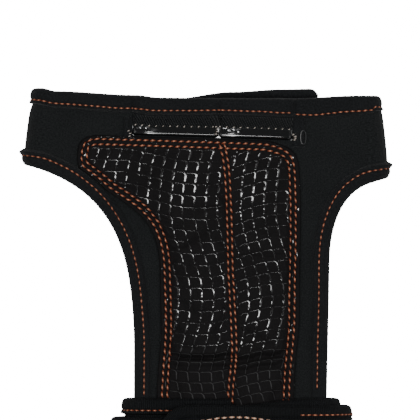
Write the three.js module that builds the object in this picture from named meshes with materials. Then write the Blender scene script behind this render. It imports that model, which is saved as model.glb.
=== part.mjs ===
// A fingerless lifting grip for the left hand, lying palm up, with its wrist wrap wound closed.
// Millimetres, +Z up. Fingers point along +Y, the thumb is at -X, and Y = 0 is the top edge of the wrap.
// Every piece is a sheet of quads on the middle surface of its cloth, thickened to a closed wall.
import * as THREE from "three";

// Cloth, tape and the air between pieces
const neoprene = 2.5;
const tape = 0.45;
const clearance = 0.3;
const bindingLeg = 3.6;
const bindingNose = 0.9;

// Band round the roots of the fingers
const bandWidth = 108.4;
const bandTaper = 4.6;
const bandRise = 8;
const foldRadius = 4;
const foldBulge = 0.9;
const palmLength = 88.9;
const hemRise = 3.2;
const thumbBandDepth = 17.8;
const littleBandDepth = 21.8;
const cornerSlip = 1.5;

// Tongue from the band down into the wrap
const tongueWidth = 55.4;
const tongueCentre = 7.3;
const tongueFlare = 0.9;
const tongueTail = 14;
const thumbCutDepth = 55.4;
const littleCutDepth = 25.4;

// Back of the band, let in between the two flaps
const thumbSeam = -33;
const littleSeam = 33.6;
const backInset = 0.1;
const backTilt = 3.2;
const backCorner = 2.2;

// Walls between the fingers
const webThickness = 1.5;
const webDepth = 12;
const webInset = 0.6;
const webBow = 0.8;
const webPlaces = [-21.6, 3.9, 26.4];

// Ribbed strip and printed palm pad
const stripThickness = 0.7;
const stripStart = -21.6;
const stripEnd = 25.4;
const padThickness = 1.6;
const padInset = 9.9;
const padTail = 4;
const padThumbReach = 38.2;
const padLittleReach = 27.9;

// Wrist wrap, an elastic strap wound twice round a flat oval
const strapThickness = 1.6;
const strapWidth = 70;
const ringCentre = 7.5;
const ringEase = 0.25;
const innerTurn = 7.5;
const wristArch = 2.5;
const strapEnd = 20.5;
const strapCorner = 8;
const layerMeet = 2;
const hookThickness = 1;
const hookLength = 14;
const hookMargin = 12;
const labelThickness = 0.8;
const labelWidth = 33;
const labelHeight = 24;
const labelCorner = 8;
const labelArch = 1;
const labelOffset = 1.2;

// What follows from the sizes above
const proud = tape + clearance;
const backHeight = proud + neoprene / 2;
const foldPlane = backHeight + 2 * foldRadius;
const tongueReach = tongueWidth / 2 + bindingNose + tape / 2;
const innerRoom = innerTurn - strapThickness / 2 - proud;
const ringFlat = tongueReach + Math.abs(ringCentre - tongueCentre) + clearance + ringEase - innerRoom;
const turnPitch = strapThickness + 2 * proud + clearance;
const ringHeight = innerTurn + turnPitch + strapThickness / 2 + proud;
const bandHalf = (bandWidth - neoprene) / 2;
const thumbCorner = palmLength - thumbBandDepth;
const littleCorner = palmLength - littleBandDepth;
const backTop = palmLength - backInset;
const padTop = palmLength - padInset;
const bandCrown = foldPlane + bandRise;
const underTurn = strapThickness / 2 + proud + clearance + padThickness + clearance + neoprene / 2;
const wristCrown = ringHeight + innerTurn + wristArch - underTurn;

// How the front swells between the hem and the wrist: up is a share of palmLength, swell of bandRise
const palmSwell = [
  { up: -0.16, swell: -0.02 },
  { up: 0, swell: 0 },
  { up: 0.165, swell: -0.07 },
  { up: 0.32, swell: 0.2 },
  { up: 0.52, swell: -0.06 },
  { up: 0.73, swell: 0.11 },
  { up: 1, swell: 0 },
];

// Front hem, from the thumb's fold to the little finger's: across is a share of the band's half width,
// rise of hemRise
const hemEdge = [
  { across: -1, rise: 1 },
  { across: -0.94, rise: 1 },
  { across: -0.85, rise: 0.7 },
  { across: -0.4, rise: 0.31 },
  { across: -0.26, rise: 0.05 },
  { across: 0, rise: 0 },
  { across: 0.5, rise: 0 },
  { across: 0.85, rise: 0.27 },
  { across: 1, rise: 0.28 },
];

// Cut-outs beside the tongue as cubic curves, which start at the inner line of each fold: across and down
// are shares of the cut-out's own box
const thumbCut = [
  { across: 0, down: 0 },
  { across: 0.844, down: 0.154 },
  { across: 1, down: 0.499 },
  { across: 1, down: 1 },
];
const littleCut = [
  { across: 0, down: 0 },
  { across: 0.668, down: 0.108 },
  { across: 1, down: 0.491 },
  { across: 1, down: 1 },
];

// The back panel's top edge climbs to the little finger: across is a share of the panel, rise of backTilt
const backEdge = [
  { across: 0, rise: 0 },
  { across: 0.34, rise: 0.05 },
  { across: 0.61, rise: 0.69 },
  { across: 0.83, rise: 0.93 },
  { across: 1, rise: 1 },
];

// Palm pad outline, hem end first: out is a share of the reach on that side, down of the pad's length
const padRows = [
  { thumbOut: 0.85, thumbDown: 0, littleOut: 0.64, littleDown: 0.021 },
  { thumbOut: 0.93, thumbDown: 0.008, littleOut: 0.8, littleDown: 0.036 },
  { thumbOut: 0.983, thumbDown: 0.03, littleOut: 0.912, littleDown: 0.058 },
  { thumbOut: 1, thumbDown: 0.062, littleOut: 0.972, littleDown: 0.094 },
  { thumbOut: 1, thumbDown: 0.1, littleOut: 0.99, littleDown: 0.144 },
  { thumbOut: 0.965, thumbDown: 0.134, littleOut: 0.996, littleDown: 0.198 },
  { thumbOut: 0.855, thumbDown: 0.175, littleOut: 1, littleDown: 0.25 },
  { thumbOut: 0.695, thumbDown: 0.222, littleOut: 1, littleDown: 0.289 },
  { thumbOut: 0.548, thumbDown: 0.27, littleOut: 1, littleDown: 0.327 },
  { thumbOut: 0.446, thumbDown: 0.321, littleOut: 1, littleDown: 0.374 },
  { thumbOut: 0.384, thumbDown: 0.383, littleOut: 0.997, littleDown: 0.424 },
  { thumbOut: 0.356, thumbDown: 0.451, littleOut: 0.993, littleDown: 0.48 },
  { thumbOut: 0.349, thumbDown: 0.53, littleOut: 0.989, littleDown: 0.54 },
  { thumbOut: 0.344, thumbDown: 0.61, littleOut: 0.987, littleDown: 0.612 },
  { thumbOut: 0.341, thumbDown: 0.686, littleOut: 0.984, littleDown: 0.686 },
  { thumbOut: 0.349, thumbDown: 0.765, littleOut: 0.965, littleDown: 0.765 },
  { thumbOut: 0.362, thumbDown: 0.845, littleOut: 0.942, littleDown: 0.845 },
  { thumbOut: 0.372, thumbDown: 0.925, littleOut: 0.93, littleDown: 0.925 },
  { thumbOut: 0.374, thumbDown: 1, littleOut: 0.928, littleDown: 1 },
];

// How far each turn of the strap has slipped down the wrist: turn is counted from the start, drop is a
// share of strapWidth
const strapSlip = [
  { turn: 0, drop: 0 },
  { turn: 0.75, drop: 0 },
  { turn: 1, drop: 0.03 },
  { turn: 1.25, drop: 0.073 },
  { turn: 1.5, drop: 0.055 },
  { turn: 1.75, drop: 0.036 },
  { turn: 2, drop: 0.02 },
  { turn: 2.5, drop: 0.02 },
];

// Faces along each stretch
const flapSteps = 2;
const foldSteps = 6;
const frontSteps = 14;
const bandSteps = 3;
const tongueSteps = 18;
const tonguePower = 1.6;
const padSteps = 11;
const stripSteps = 9;
const backSteps = 7;
const archSteps = 4;
const bottomSteps = 2;

const lerp = THREE.MathUtils.lerp;
const ease = (t) => THREE.MathUtils.smoothstep(t, 0, 1);

// Reads a table at a place, easing from row to row so that each row is the top or bottom of a wave.
function readTable(rows, key, value, place) {
  const first = rows[0];
  const last = rows[rows.length - 1];
  if (place <= first[key]) return first[value];
  if (place >= last[key]) return last[value];
  const next = rows.findIndex((row) => row[key] > place);
  const low = rows[next - 1];
  const high = rows[next];
  return lerp(low[value], high[value], ease((place - low[key]) / (high[key] - low[key])));
}

// Shares of its radius at which a rounded corner needs points.
const cornerArc = [0, 1, 2, 3].map((step) => 1 - Math.cos((step * Math.PI) / 6));

// How far a rounded end is pulled back at a distance from the corner's other side.
function cornerPull(distance, radius) {
  const inside = Math.max(0, radius - distance);
  return radius - Math.sqrt(radius * radius - inside * inside);
}

function gridSheet(rows, columns, place) {
  const points = [];
  const quads = [];
  for (let row = 0; row <= rows; row++) {
    for (let column = 0; column <= columns; column++) {
      points.push(place(row, column));
    }
  }
  const at = (row, column) => row * (columns + 1) + column;
  for (let row = 0; row < rows; row++) {
    for (let column = 0; column < columns; column++) {
      quads.push([at(row, column), at(row + 1, column), at(row + 1, column + 1), at(row, column + 1)]);
    }
  }
  return { points, quads, at };
}

function sheetNormals(sheet) {
  const normals = sheet.points.map(() => new THREE.Vector3());
  for (const [a, b, c, d] of sheet.quads) {
    const diagonal = new THREE.Vector3().subVectors(sheet.points[c], sheet.points[a]);
    const other = new THREE.Vector3().subVectors(sheet.points[d], sheet.points[b]);
    const face = diagonal.cross(other);
    for (const corner of [a, b, c, d]) {
      normals[corner].add(face);
    }
  }
  return normals.map((normal) => normal.normalize());
}

// Turns a sheet into a closed wall, half its thickness to each side of the middle surface.
function thicken(sheet, thickness) {
  const normals = sheetNormals(sheet);
  const count = sheet.points.length;
  const positions = [];
  for (const side of [0.5, -0.5]) {
    sheet.points.forEach((point, index) => {
      const moved = point.clone().addScaledVector(normals[index], side * thickness);
      positions.push(moved.x, moved.y, moved.z);
    });
  }
  const faces = [];
  const borders = new Map();
  for (const [a, b, c, d] of sheet.quads) {
    faces.push(a, b, c, a, c, d);
    faces.push(a + count, c + count, b + count, a + count, d + count, c + count);
    for (const [from, to] of [[a, b], [b, c], [c, d], [d, a]]) {
      const twin = `${to} ${from}`;
      if (borders.has(twin)) borders.delete(twin);
      else borders.set(`${from} ${to}`, [from, to]);
    }
  }
  for (const [from, to] of borders.values()) {
    faces.push(to, from, from + count, to, from + count, to + count);
  }
  const geometry = new THREE.BufferGeometry();
  geometry.setAttribute("position", new THREE.Float32BufferAttribute(positions, 3));
  geometry.setIndex(faces);
  geometry.computeVertexNormals();
  return geometry;
}

// A folded tape round a cloth's edge. Each station is a point on the edge with the cloth's normal there.
// side is 1 where normal x direction of travel points out of the cloth, and -1 where it points in.
function bindEdge(stations, thickness, side) {
  const half = thickness / 2 + clearance + tape / 2;
  const noseLow = half * 0.45;
  const outward = stations.map((station, index) => {
    const before = stations[Math.max(0, index - 1)].point;
    const after = stations[Math.min(stations.length - 1, index + 1)].point;
    const along = new THREE.Vector3().subVectors(after, before).normalize();
    return new THREE.Vector3().crossVectors(station.normal, along).normalize().multiplyScalar(side);
  });
  return gridSheet(stations.length - 1, 5, (row, column) => {
    const { point, normal, leg = bindingLeg, out = outward[row] } = stations[row];
    const section = [
      { reach: -leg, rise: half },
      { reach: 0.1, rise: half },
      { reach: bindingNose, rise: noseLow },
      { reach: bindingNose, rise: -noseLow },
      { reach: 0.1, rise: -half },
      { reach: -leg, rise: -half },
    ];
    const { reach, rise } = section[side > 0 ? column : 5 - column];
    return point.clone().addScaledVector(out, reach).addScaledVector(normal, rise);
  });
}

function stationsOn(sheet, indices) {
  const normals = sheetNormals(sheet);
  return indices.map((index) => ({ point: sheet.points[index].clone(), normal: normals[index] }));
}

// Front of the palm: height of the cloth's middle surface
function bandShare(y) {
  return ease(y / littleCorner);
}

function wristBase() {
  const edge = Math.cos((Math.PI * tongueWidth) / 4 / wristSpan) ** 2;
  return (ringHeight - wristCrown * edge) / (1 - edge);
}

const bandSpan = bandHalf - foldRadius - 1;
const wristSpan = bandSpan * 0.95;

// The folds taper to the hem, and stand out a little between their two bound edges
function foldX(side, y) {
  const low = side < 0 ? thumbCorner : littleCorner;
  const up = THREE.MathUtils.clamp((y - low) / (palmLength - low), 0, 1);
  const bulge = foldBulge * (1 - (2 * up - 1) ** 4);
  return side * (bandHalf - (up * bandTaper) / 2 + bulge);
}

function palmHeight(x, y) {
  const share = bandShare(y);
  const base = lerp(wristBase(), foldPlane, share);
  const swell = readTable(palmSwell, "up", "swell", y / palmLength) * bandRise;
  const crown = lerp(wristCrown, bandCrown, share) + swell;
  const middle = lerp(tongueCentre, 0, share);
  const span = lerp(wristSpan, bandSpan, share);
  const offset = Math.min(1, Math.abs(x - middle) / span);
  const bell = Math.cos((Math.PI * offset) / 2) ** 2;
  const side = x < middle ? -1 : 1;
  const past = Math.max(0, Math.abs(x) - (Math.abs(foldX(side, y)) - foldRadius));
  const drop = foldRadius - Math.sqrt(Math.max(0, foldRadius ** 2 - past ** 2));
  return base + (crown - base) * bell - drop;
}

function palmNormal(x, y) {
  const step = 0.5;
  const slopeX = (palmHeight(x + step, y) - palmHeight(x - step, y)) / (2 * step);
  const slopeY = (palmHeight(x, y + step) - palmHeight(x, y - step)) / (2 * step);
  return new THREE.Vector3(-slopeX, -slopeY, 1).normalize();
}

function palmPoint(x, y, lift) {
  return new THREE.Vector3(x, y, palmHeight(x, y)).addScaledVector(palmNormal(x, y), lift);
}

function hemAt(x) {
  return palmLength + hemRise * readTable(hemEdge, "across", "rise", x / bandHalf);
}

// Lower edge of the band: level on the back, slipping down round each fold to where the cut-outs start
function lowerLine(x) {
  return lerp(thumbCorner, littleCorner, (x + bandHalf) / (2 * bandHalf));
}

const cutStart = bandHalf - foldRadius;
const cutCorner = (side) => (side < 0 ? thumbCorner : littleCorner) - cornerSlip;

// Edge of the cloth beside a cut-out at a height: a cubic curve, then straight on into the wrap
function cutEdge(side, y) {
  const corner = cutCorner(side);
  const end = corner - (side < 0 ? thumbCutDepth : littleCutDepth);
  const flare = side < 0 ? 0 : tongueFlare;
  const wristX = tongueCentre + (side * tongueWidth) / 2;
  const endX = wristX + side * flare;
  if (y <= end) return lerp(wristX, endX, Math.max(0, y / end));
  const rows = side < 0 ? thumbCut : littleCut;
  const startX = side * cutStart;
  const curve = new THREE.CubicBezierCurve(
    ...rows.map((row) => new THREE.Vector2(lerp(startX, endX, row.across), lerp(corner, end, row.down))),
  );
  let low = 0;
  let high = 1;
  for (let pass = 0; pass < 40; pass++) {
    const middle = (low + high) / 2;
    if (curve.getPoint(middle).y > y) low = middle;
    else high = middle;
  }
  return curve.getPoint(low).x;
}

// Palm body: one cut of cloth, round both folds to a flap on the back, with the tongue
function bandColumn(column) {
  const frontStart = flapSteps + foldSteps;
  const frontEnd = frontStart + frontSteps;
  const all = frontEnd + foldSteps + flapSteps;
  const side = column < frontStart + frontSteps / 2 ? -1 : 1;
  const inward = side < 0 ? column : all - column;
  const seam = side < 0 ? thumbSeam : littleSeam + clearance;
  if (inward < flapSteps) return { side, part: "flap", share: inward / flapSteps, seam };
  if (inward < frontStart) return { side, part: "fold", share: (inward - flapSteps) / foldSteps, seam };
  return { side, part: "front", share: (column - frontStart) / frontSteps, seam };
}

function bandPoint(row, column) {
  const { side, part, share, seam } = bandColumn(column);
  const down = row / bandSteps;
  const topCentre = (which) => foldX(which, palmLength) - which * foldRadius;
  if (part === "front") {
    const topX = lerp(topCentre(-1), topCentre(1), share);
    const lowX = lerp(-cutStart, cutStart, share);
    const x = lerp(topX, lowX, down);
    const y = lerp(hemAt(topX), lerp(cutCorner(-1), cutCorner(1), share), down);
    return new THREE.Vector3(x, y, palmHeight(x, y));
  }
  const low = lowerLine(side * bandHalf);
  if (part === "flap") {
    const y = lerp(hemAt(lerp(seam, topCentre(side), share)), low, down);
    const centre = foldX(side, y) - side * foldRadius;
    return new THREE.Vector3(lerp(seam, centre, share), y, backHeight);
  }
  const turn = Math.PI * share;
  const out = side * foldRadius * Math.sin(turn);
  const slip = cornerSlip * Math.max(0, 2 * share - 1) ** 1.5;
  const y = lerp(hemAt(topCentre(side) + out), low - slip, down);
  const centre = foldX(side, y) - side * foldRadius;
  return new THREE.Vector3(centre + out, y, backHeight + foldRadius * (1 - Math.cos(turn)));
}

const bandColumns = 2 * (flapSteps + foldSteps) + frontSteps;
const thumbFold = flapSteps + foldSteps;
const littleFold = bandColumns - thumbFold;

function buildPalmSheet() {
  const band = gridSheet(bandSteps, bandColumns, bandPoint);
  const points = band.points;
  const quads = band.quads;
  const columns = littleFold - thumbFold;
  const topRow = [];
  for (let column = thumbFold; column <= littleFold; column++) {
    topRow.push(band.at(bandSteps, column));
  }
  const grid = [topRow];
  for (let row = 1; row <= tongueSteps; row++) {
    const share = (row / tongueSteps) ** tonguePower;
    const thumbY = lerp(cutCorner(-1), -tongueTail, share);
    const littleY = lerp(cutCorner(1), -tongueTail, share);
    const thumbX = cutEdge(-1, thumbY);
    const littleX = cutEdge(1, littleY);
    const line = [];
    for (let column = 0; column <= columns; column++) {
      const across = column / columns;
      const x = lerp(thumbX, littleX, across);
      const y = lerp(thumbY, littleY, across);
      line.push(points.length);
      points.push(new THREE.Vector3(x, y, palmHeight(x, y)));
    }
    grid.push(line);
  }
  for (let row = 0; row < tongueSteps; row++) {
    for (let column = 0; column < columns; column++) {
      quads.push([
        grid[row][column],
        grid[row + 1][column],
        grid[row + 1][column + 1],
        grid[row][column + 1],
      ]);
    }
  }
  return { points, quads, at: band.at, grid };
}

const palmSheet = buildPalmSheet();

function buildTopBinding() {
  const indices = [];
  for (let column = 0; column <= bandColumns; column++) {
    indices.push(palmSheet.at(0, column));
  }
  return bindEdge(stationsOn(palmSheet, indices), neoprene, 1);
}

function buildSideBinding(side) {
  const indices = [];
  const steps = side < 0 ? thumbFold : bandColumns - littleFold;
  for (let step = 0; step < steps; step++) {
    indices.push(palmSheet.at(bandSteps, side < 0 ? step : bandColumns - step));
  }
  for (const line of palmSheet.grid) {
    indices.push(side < 0 ? line[0] : line[line.length - 1]);
  }
  return bindEdge(stationsOn(palmSheet, indices), neoprene, side);
}

// Back panel between the flaps, with its rounded corner beside the little finger
const panelStart = thumbSeam + clearance;

function panelColumns() {
  const places = [];
  const straightEnd = littleSeam - backCorner;
  for (let step = 0; step < backSteps; step++) {
    places.push(lerp(panelStart, straightEnd, step / backSteps));
  }
  for (const share of [...cornerArc].reverse()) {
    places.push(littleSeam - share * backCorner);
  }
  return places;
}

function panelPull(x) {
  return 0.8 * backCorner * Math.max(0, 1 - (littleSeam - x) / backCorner) ** 2;
}

function panelTop(x) {
  const across = (x - panelStart) / (littleSeam - panelStart);
  const rise = readTable(backEdge, "across", "rise", across) * backTilt;
  return backTop + rise - panelPull(x);
}

const panelPlaces = panelColumns();

function buildBackPanel() {
  return gridSheet(3, panelPlaces.length - 1, (row, column) => {
    const x = panelPlaces[panelPlaces.length - 1 - column];
    return new THREE.Vector3(x, lerp(panelTop(x), lowerLine(x), row / 3), backHeight);
  });
}

function buildPanelBinding(top) {
  const normal = new THREE.Vector3(0, 0, -1);
  const out = new THREE.Vector3(0, top ? 1 : -1, 0);
  const stations = panelPlaces.map((x) => {
    const pulled = top ? panelPull(x) : 0;
    const point = new THREE.Vector3(x, top ? panelTop(x) : lowerLine(x), backHeight);
    return { point, normal, out, leg: bindingLeg - pulled };
  });
  if (top) stations.reverse();
  return bindEdge(stations, neoprene, 1);
}

// Walls between the fingers, from the back layer up to the front layer
function buildWeb(place) {
  return gridSheet(3, 4, (row, column) => {
    const y = hemAt(place) - webInset - (webDepth * row) / 3;
    const low = backHeight + neoprene / 2 + proud + clearance;
    const reach = webThickness / 2 + webBow;
    const roof = Math.min(palmHeight(place - reach, y), palmHeight(place + reach, y));
    const high = roof - neoprene / 2 - proud - 2 * clearance;
    const share = column / 4;
    const bow = webBow * Math.sin(Math.PI * share);
    return new THREE.Vector3(place + bow, y, lerp(low, high, share));
  });
}

// Palm pad, kept inside the bindings of both cut-outs
const edgeSamples = [];
for (const side of [-1, 1]) {
  for (let step = 0; step <= 60; step++) {
    const y = lerp(cutCorner(side), -tongueTail, step / 60);
    edgeSamples.push(new THREE.Vector2(cutEdge(side, y), y));
  }
}

function clearOfBinding(x, y) {
  const place = new THREE.Vector2(x, y);
  const room = bindingLeg + 2 * clearance;
  for (const sample of edgeSamples) {
    const away = place.clone().sub(sample);
    if (away.length() < room) place.copy(sample).add(away.setLength(room));
  }
  return place;
}

function padEdge(row, side) {
  const out = side < 0 ? -row.thumbOut * padThumbReach : row.littleOut * padLittleReach;
  const down = side < 0 ? row.thumbDown : row.littleDown;
  return clearOfBinding(out, padTop - down * (padTop + padTail));
}

function buildPad() {
  const lift = neoprene / 2 + clearance + padThickness / 2;
  const edges = padRows.map((row) => ({ thumb: padEdge(row, -1), little: padEdge(row, 1) }));
  return gridSheet(padRows.length - 1, padSteps, (row, column) => {
    const place = edges[row].thumb.clone().lerp(edges[row].little, column / padSteps);
    return palmPoint(place.x, place.y, lift);
  });
}

// Ribbed strip between the hem's binding and the pad
function buildStrip() {
  const lift = neoprene / 2 + clearance + stripThickness / 2;
  const thumbTop = padEdge(padRows[0], -1);
  const littleTop = padEdge(padRows[0], 1);
  return gridSheet(2, stripSteps, (row, column) => {
    const x = lerp(stripStart, stripEnd, column / stripSteps);
    const padLine = lerp(thumbTop.y, littleTop.y, (x - thumbTop.x) / (littleTop.x - thumbTop.x));
    const high = hemAt(x) - bindingLeg - 2 * clearance;
    return palmPoint(x, lerp(high, padLine + 2 * clearance, row / 2), lift);
  });
}

// Wrist wrap: stations of the strap's middle line, each with its turn and its place in the oval
function topHeight(x, layer) {
  const arch = wristArch * Math.cos((Math.PI * x) / 2 / ringFlat) ** 2;
  return ringHeight + innerTurn + layer * turnPitch + arch;
}

function climb(x) {
  return ease((ringFlat - x) / (ringFlat - layerMeet));
}

function strapStations() {
  const list = [];
  const add = (turn, x, z) => list.push({ turn, x, z });
  for (const layer of [0, 1]) {
    const radius = innerTurn + layer * turnPitch;
    for (let step = 0; step < archSteps; step++) {
      const x = (-ringFlat * step) / archSteps;
      add(layer + (0.25 * step) / archSteps, x, topHeight(x, layer));
    }
    for (let step = 0; step < foldSteps; step++) {
      const angle = (Math.PI * step) / foldSteps;
      add(layer + 0.25, -ringFlat - radius * Math.sin(angle), ringHeight + radius * Math.cos(angle));
    }
    for (let step = 0; step < bottomSteps; step++) {
      const share = step / bottomSteps;
      add(layer + 0.25 + 0.5 * share, lerp(-ringFlat, ringFlat, share), ringHeight - radius);
    }
    for (let step = 0; step < foldSteps; step++) {
      const angle = (Math.PI * step) / foldSteps;
      add(layer + 0.75, ringFlat + radius * Math.sin(angle), ringHeight - radius * Math.cos(angle));
    }
    for (let step = 0; step < 2 * archSteps; step++) {
      const x = ringFlat * (1 - step / (2 * archSteps));
      add(layer + 0.75 + (0.25 * step) / (2 * archSteps), x, topHeight(x, layer + climb(x)));
    }
  }
  return list;
}

function strapDrop(turn) {
  return readTable(strapSlip, "turn", "drop", turn) * strapWidth;
}

function strapRows() {
  const shares = cornerArc.map((share) => (share * strapCorner) / strapWidth);
  return [...shares, 0.5, ...shares.map((share) => 1 - share).reverse()];
}

const strapPlaces = strapStations();
const strapShares = strapRows();
const endSteps = 4;

function strapPoint(station, share) {
  if (station < strapPlaces.length) {
    const { turn, x, z } = strapPlaces[station];
    return new THREE.Vector3(ringCentre + x, -strapDrop(turn) - share * strapWidth, z);
  }
  const step = (station - strapPlaces.length) / endSteps;
  const near = Math.min(share, 1 - share) * strapWidth;
  const x = -step * (strapEnd - cornerPull(near, strapCorner));
  return new THREE.Vector3(ringCentre + x, -strapDrop(2 + 0.15 * step) - share * strapWidth, topHeight(x, 2));
}

function buildStrap() {
  const stations = strapPlaces.length + endSteps;
  return gridSheet(stations, strapShares.length - 1, (row, column) => strapPoint(row, strapShares[column]));
}

const strapSheet = buildStrap();

function buildStrapBinding(top) {
  const stations = strapPlaces.length + endSteps;
  const lastShare = strapShares.length - 1;
  const indices = [];
  for (let station = 0; station <= stations; station++) {
    indices.push(strapSheet.at(station, top ? 0 : lastShare));
  }
  if (top) {
    for (let share = 1; share <= lastShare; share++) {
      indices.push(strapSheet.at(stations, share));
    }
  }
  const list = stationsOn(strapSheet, indices);
  const last = list[list.length - 1];
  last.out = new THREE.Vector3(0, -1, 0);
  if (!top) last.point.x += 2 * clearance;
  return bindEdge(list, strapThickness, top ? -1 : 1);
}

// Fastening patch between the strap's end and the turn below it
function buildHookPatch() {
  return gridSheet(2, 3, (row, column) => {
    const x = -strapEnd + bindingLeg + clearance + (hookLength * column) / 3;
    const y = -lerp(hookMargin, strapWidth - hookMargin, row / 2);
    return new THREE.Vector3(ringCentre + x, y, topHeight(x, 1.5));
  });
}

// Stitched patch on the outer turn, with rounded corners and an arched top
function labelRows() {
  const shares = cornerArc.map((share) => (share * labelCorner) / labelHeight);
  return [...shares, ...shares.map((share) => 1 - share).reverse()];
}

function buildLabel() {
  const shares = labelRows();
  const lift = strapThickness / 2 + clearance + labelThickness / 2;
  const topEdge = -strapDrop(2) - bindingLeg - clearance;
  return gridSheet(shares.length - 1, 6, (row, column) => {
    const near = Math.min(shares[row], 1 - shares[row]) * labelHeight;
    const half = labelWidth / 2 - cornerPull(near, labelCorner);
    const across = column / 3 - 1;
    const x = labelOffset + across * half;
    const y = topEdge - shares[row] * labelHeight - labelArch * across ** 2 * (1 - shares[row]);
    const layer = 1 + climb(x);
    const slope = topHeight(x + 0.5, 1 + climb(x + 0.5)) - topHeight(x - 0.5, 1 + climb(x - 0.5));
    const normal = new THREE.Vector3(-slope, 0, 1).normalize();
    return new THREE.Vector3(ringCentre + x, y, topHeight(x, layer)).addScaledVector(normal, lift);
  });
}

// Finishes
const cloth = { color: 0x161818, roughness: 0.92, metalness: 0 };
const tapeCloth = { color: 0x18191a, roughness: 0.85, metalness: 0 };
const padCloth = { color: 0x1c1a1b, roughness: 0.6, metalness: 0 };
const elastic = { color: 0x17181a, roughness: 0.8, metalness: 0 };
const ribbed = { color: 0x141516, roughness: 0.55, metalness: 0 };
const hook = { color: 0x101010, roughness: 0.7, metalness: 0 };

const grip = new THREE.Group();

function addPiece(name, sheet, thickness, finish) {
  const mesh = new THREE.Mesh(thicken(sheet, thickness), new THREE.MeshStandardMaterial(finish));
  mesh.name = name;
  grip.add(mesh);
}

addPiece("palm_body", palmSheet, neoprene, cloth);
addPiece("back_panel", buildBackPanel(), neoprene, cloth);
addPiece("top_binding", buildTopBinding(), tape, tapeCloth);
addPiece("thumb_side_binding", buildSideBinding(-1), tape, tapeCloth);
addPiece("little_side_binding", buildSideBinding(1), tape, tapeCloth);
addPiece("back_top_binding", buildPanelBinding(true), tape, tapeCloth);
addPiece("back_lower_binding", buildPanelBinding(false), tape, tapeCloth);
addPiece("finger_strip", buildStrip(), stripThickness, ribbed);
addPiece("palm_pad", buildPad(), padThickness, padCloth);
webPlaces.forEach((place, index) => {
  addPiece(`finger_web_${index + 1}`, buildWeb(place), webThickness, elastic);
});
addPiece("wrist_wrap", strapSheet, strapThickness, elastic);
addPiece("wrap_top_binding", buildStrapBinding(true), tape, tapeCloth);
addPiece("wrap_lower_binding", buildStrapBinding(false), tape, tapeCloth);
addPiece("hook_patch", buildHookPatch(), hookThickness, hook);
addPiece("label_patch", buildLabel(), labelThickness, tapeCloth);

// The origin is the middle of the underside of the whole grip's box.
const box = new THREE.Box3().setFromObject(grip, true);
const middle = box.getCenter(new THREE.Vector3());
grip.children.forEach((mesh) => mesh.position.set(-middle.x, -middle.y, -box.min.z));

export default grip;
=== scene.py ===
# Fingerless lifting grip for the left hand, lying palm up on a pale floor.
# Everything is laid out in millimetres on the pattern of the grip, where Y = 0 is the top edge of the
# wrist wrap and the fingers point along +Y, and toFrame() puts it into the frame in metres.
import math

import bpy
import numpy as np
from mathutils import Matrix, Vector
from mathutils.bvhtree import BVHTree


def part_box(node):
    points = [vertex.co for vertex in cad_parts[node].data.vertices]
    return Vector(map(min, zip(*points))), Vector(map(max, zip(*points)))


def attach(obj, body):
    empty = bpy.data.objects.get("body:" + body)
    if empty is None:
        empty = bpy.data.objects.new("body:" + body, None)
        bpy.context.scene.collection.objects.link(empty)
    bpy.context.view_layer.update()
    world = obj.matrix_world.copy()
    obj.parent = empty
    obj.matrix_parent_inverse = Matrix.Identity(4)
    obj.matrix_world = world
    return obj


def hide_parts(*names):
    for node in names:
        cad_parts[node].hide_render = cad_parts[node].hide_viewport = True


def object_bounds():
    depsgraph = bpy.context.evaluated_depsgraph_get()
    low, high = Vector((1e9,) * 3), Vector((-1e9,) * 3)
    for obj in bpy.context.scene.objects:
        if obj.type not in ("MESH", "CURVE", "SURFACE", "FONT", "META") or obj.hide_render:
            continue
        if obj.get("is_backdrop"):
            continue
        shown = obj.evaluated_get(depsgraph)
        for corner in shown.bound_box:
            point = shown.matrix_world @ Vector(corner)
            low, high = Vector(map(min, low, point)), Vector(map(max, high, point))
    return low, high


print("loading the frame")
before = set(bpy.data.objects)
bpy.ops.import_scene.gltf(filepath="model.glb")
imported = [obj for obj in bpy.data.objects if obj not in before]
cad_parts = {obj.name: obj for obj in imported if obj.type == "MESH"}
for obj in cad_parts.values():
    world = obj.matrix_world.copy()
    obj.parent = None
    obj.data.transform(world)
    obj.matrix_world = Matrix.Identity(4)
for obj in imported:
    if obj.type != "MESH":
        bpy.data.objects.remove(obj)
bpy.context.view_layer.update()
rng = np.random.default_rng(11)

millimetre = 0.001
cloth = {"neoprene": 2.5, "tape": 0.45, "gap": 0.3, "leg": 3.6, "nose": 0.9}
half, gap = cloth["neoprene"] / 2, cloth["gap"]
proud = cloth["tape"] + gap

# shape of the palm, as the frame has it
palm = {
    "width": 108.4, "taper": 4.6, "rise": 8.0, "fold": 4.0, "bulge": 0.9, "length": 88.9,
    "thumbCorner": 71.1, "littleCorner": 67.1, "slip": 1.5,
    "tongueWidth": 55.4, "tongueCentre": 7.3, "flare": 0.9, "tail": 14.0,
    "thumbCutEnd": 14.2, "littleCutEnd": 40.2, "thumbSeam": -33.0, "littleSeam": 33.6,
    "hemRise": 3.2,
    "hem": [(-1, 1), (-0.94, 1), (-0.85, 0.7), (-0.4, 0.31), (-0.26, 0.05), (0, 0), (0.5, 0),
            (0.85, 0.27), (1, 0.28)],
    "swell": [(-0.16, -0.02), (0, 0), (0.165, -0.07), (0.32, 0.2), (0.52, -0.06), (0.73, 0.11), (1, 0)],
    "thumbCut": [(0, 0), (0.844, 0.154), (1, 0.499), (1, 1)],
    "littleCut": [(0, 0), (0.668, 0.108), (1, 0.491), (1, 1)],
}
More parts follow.
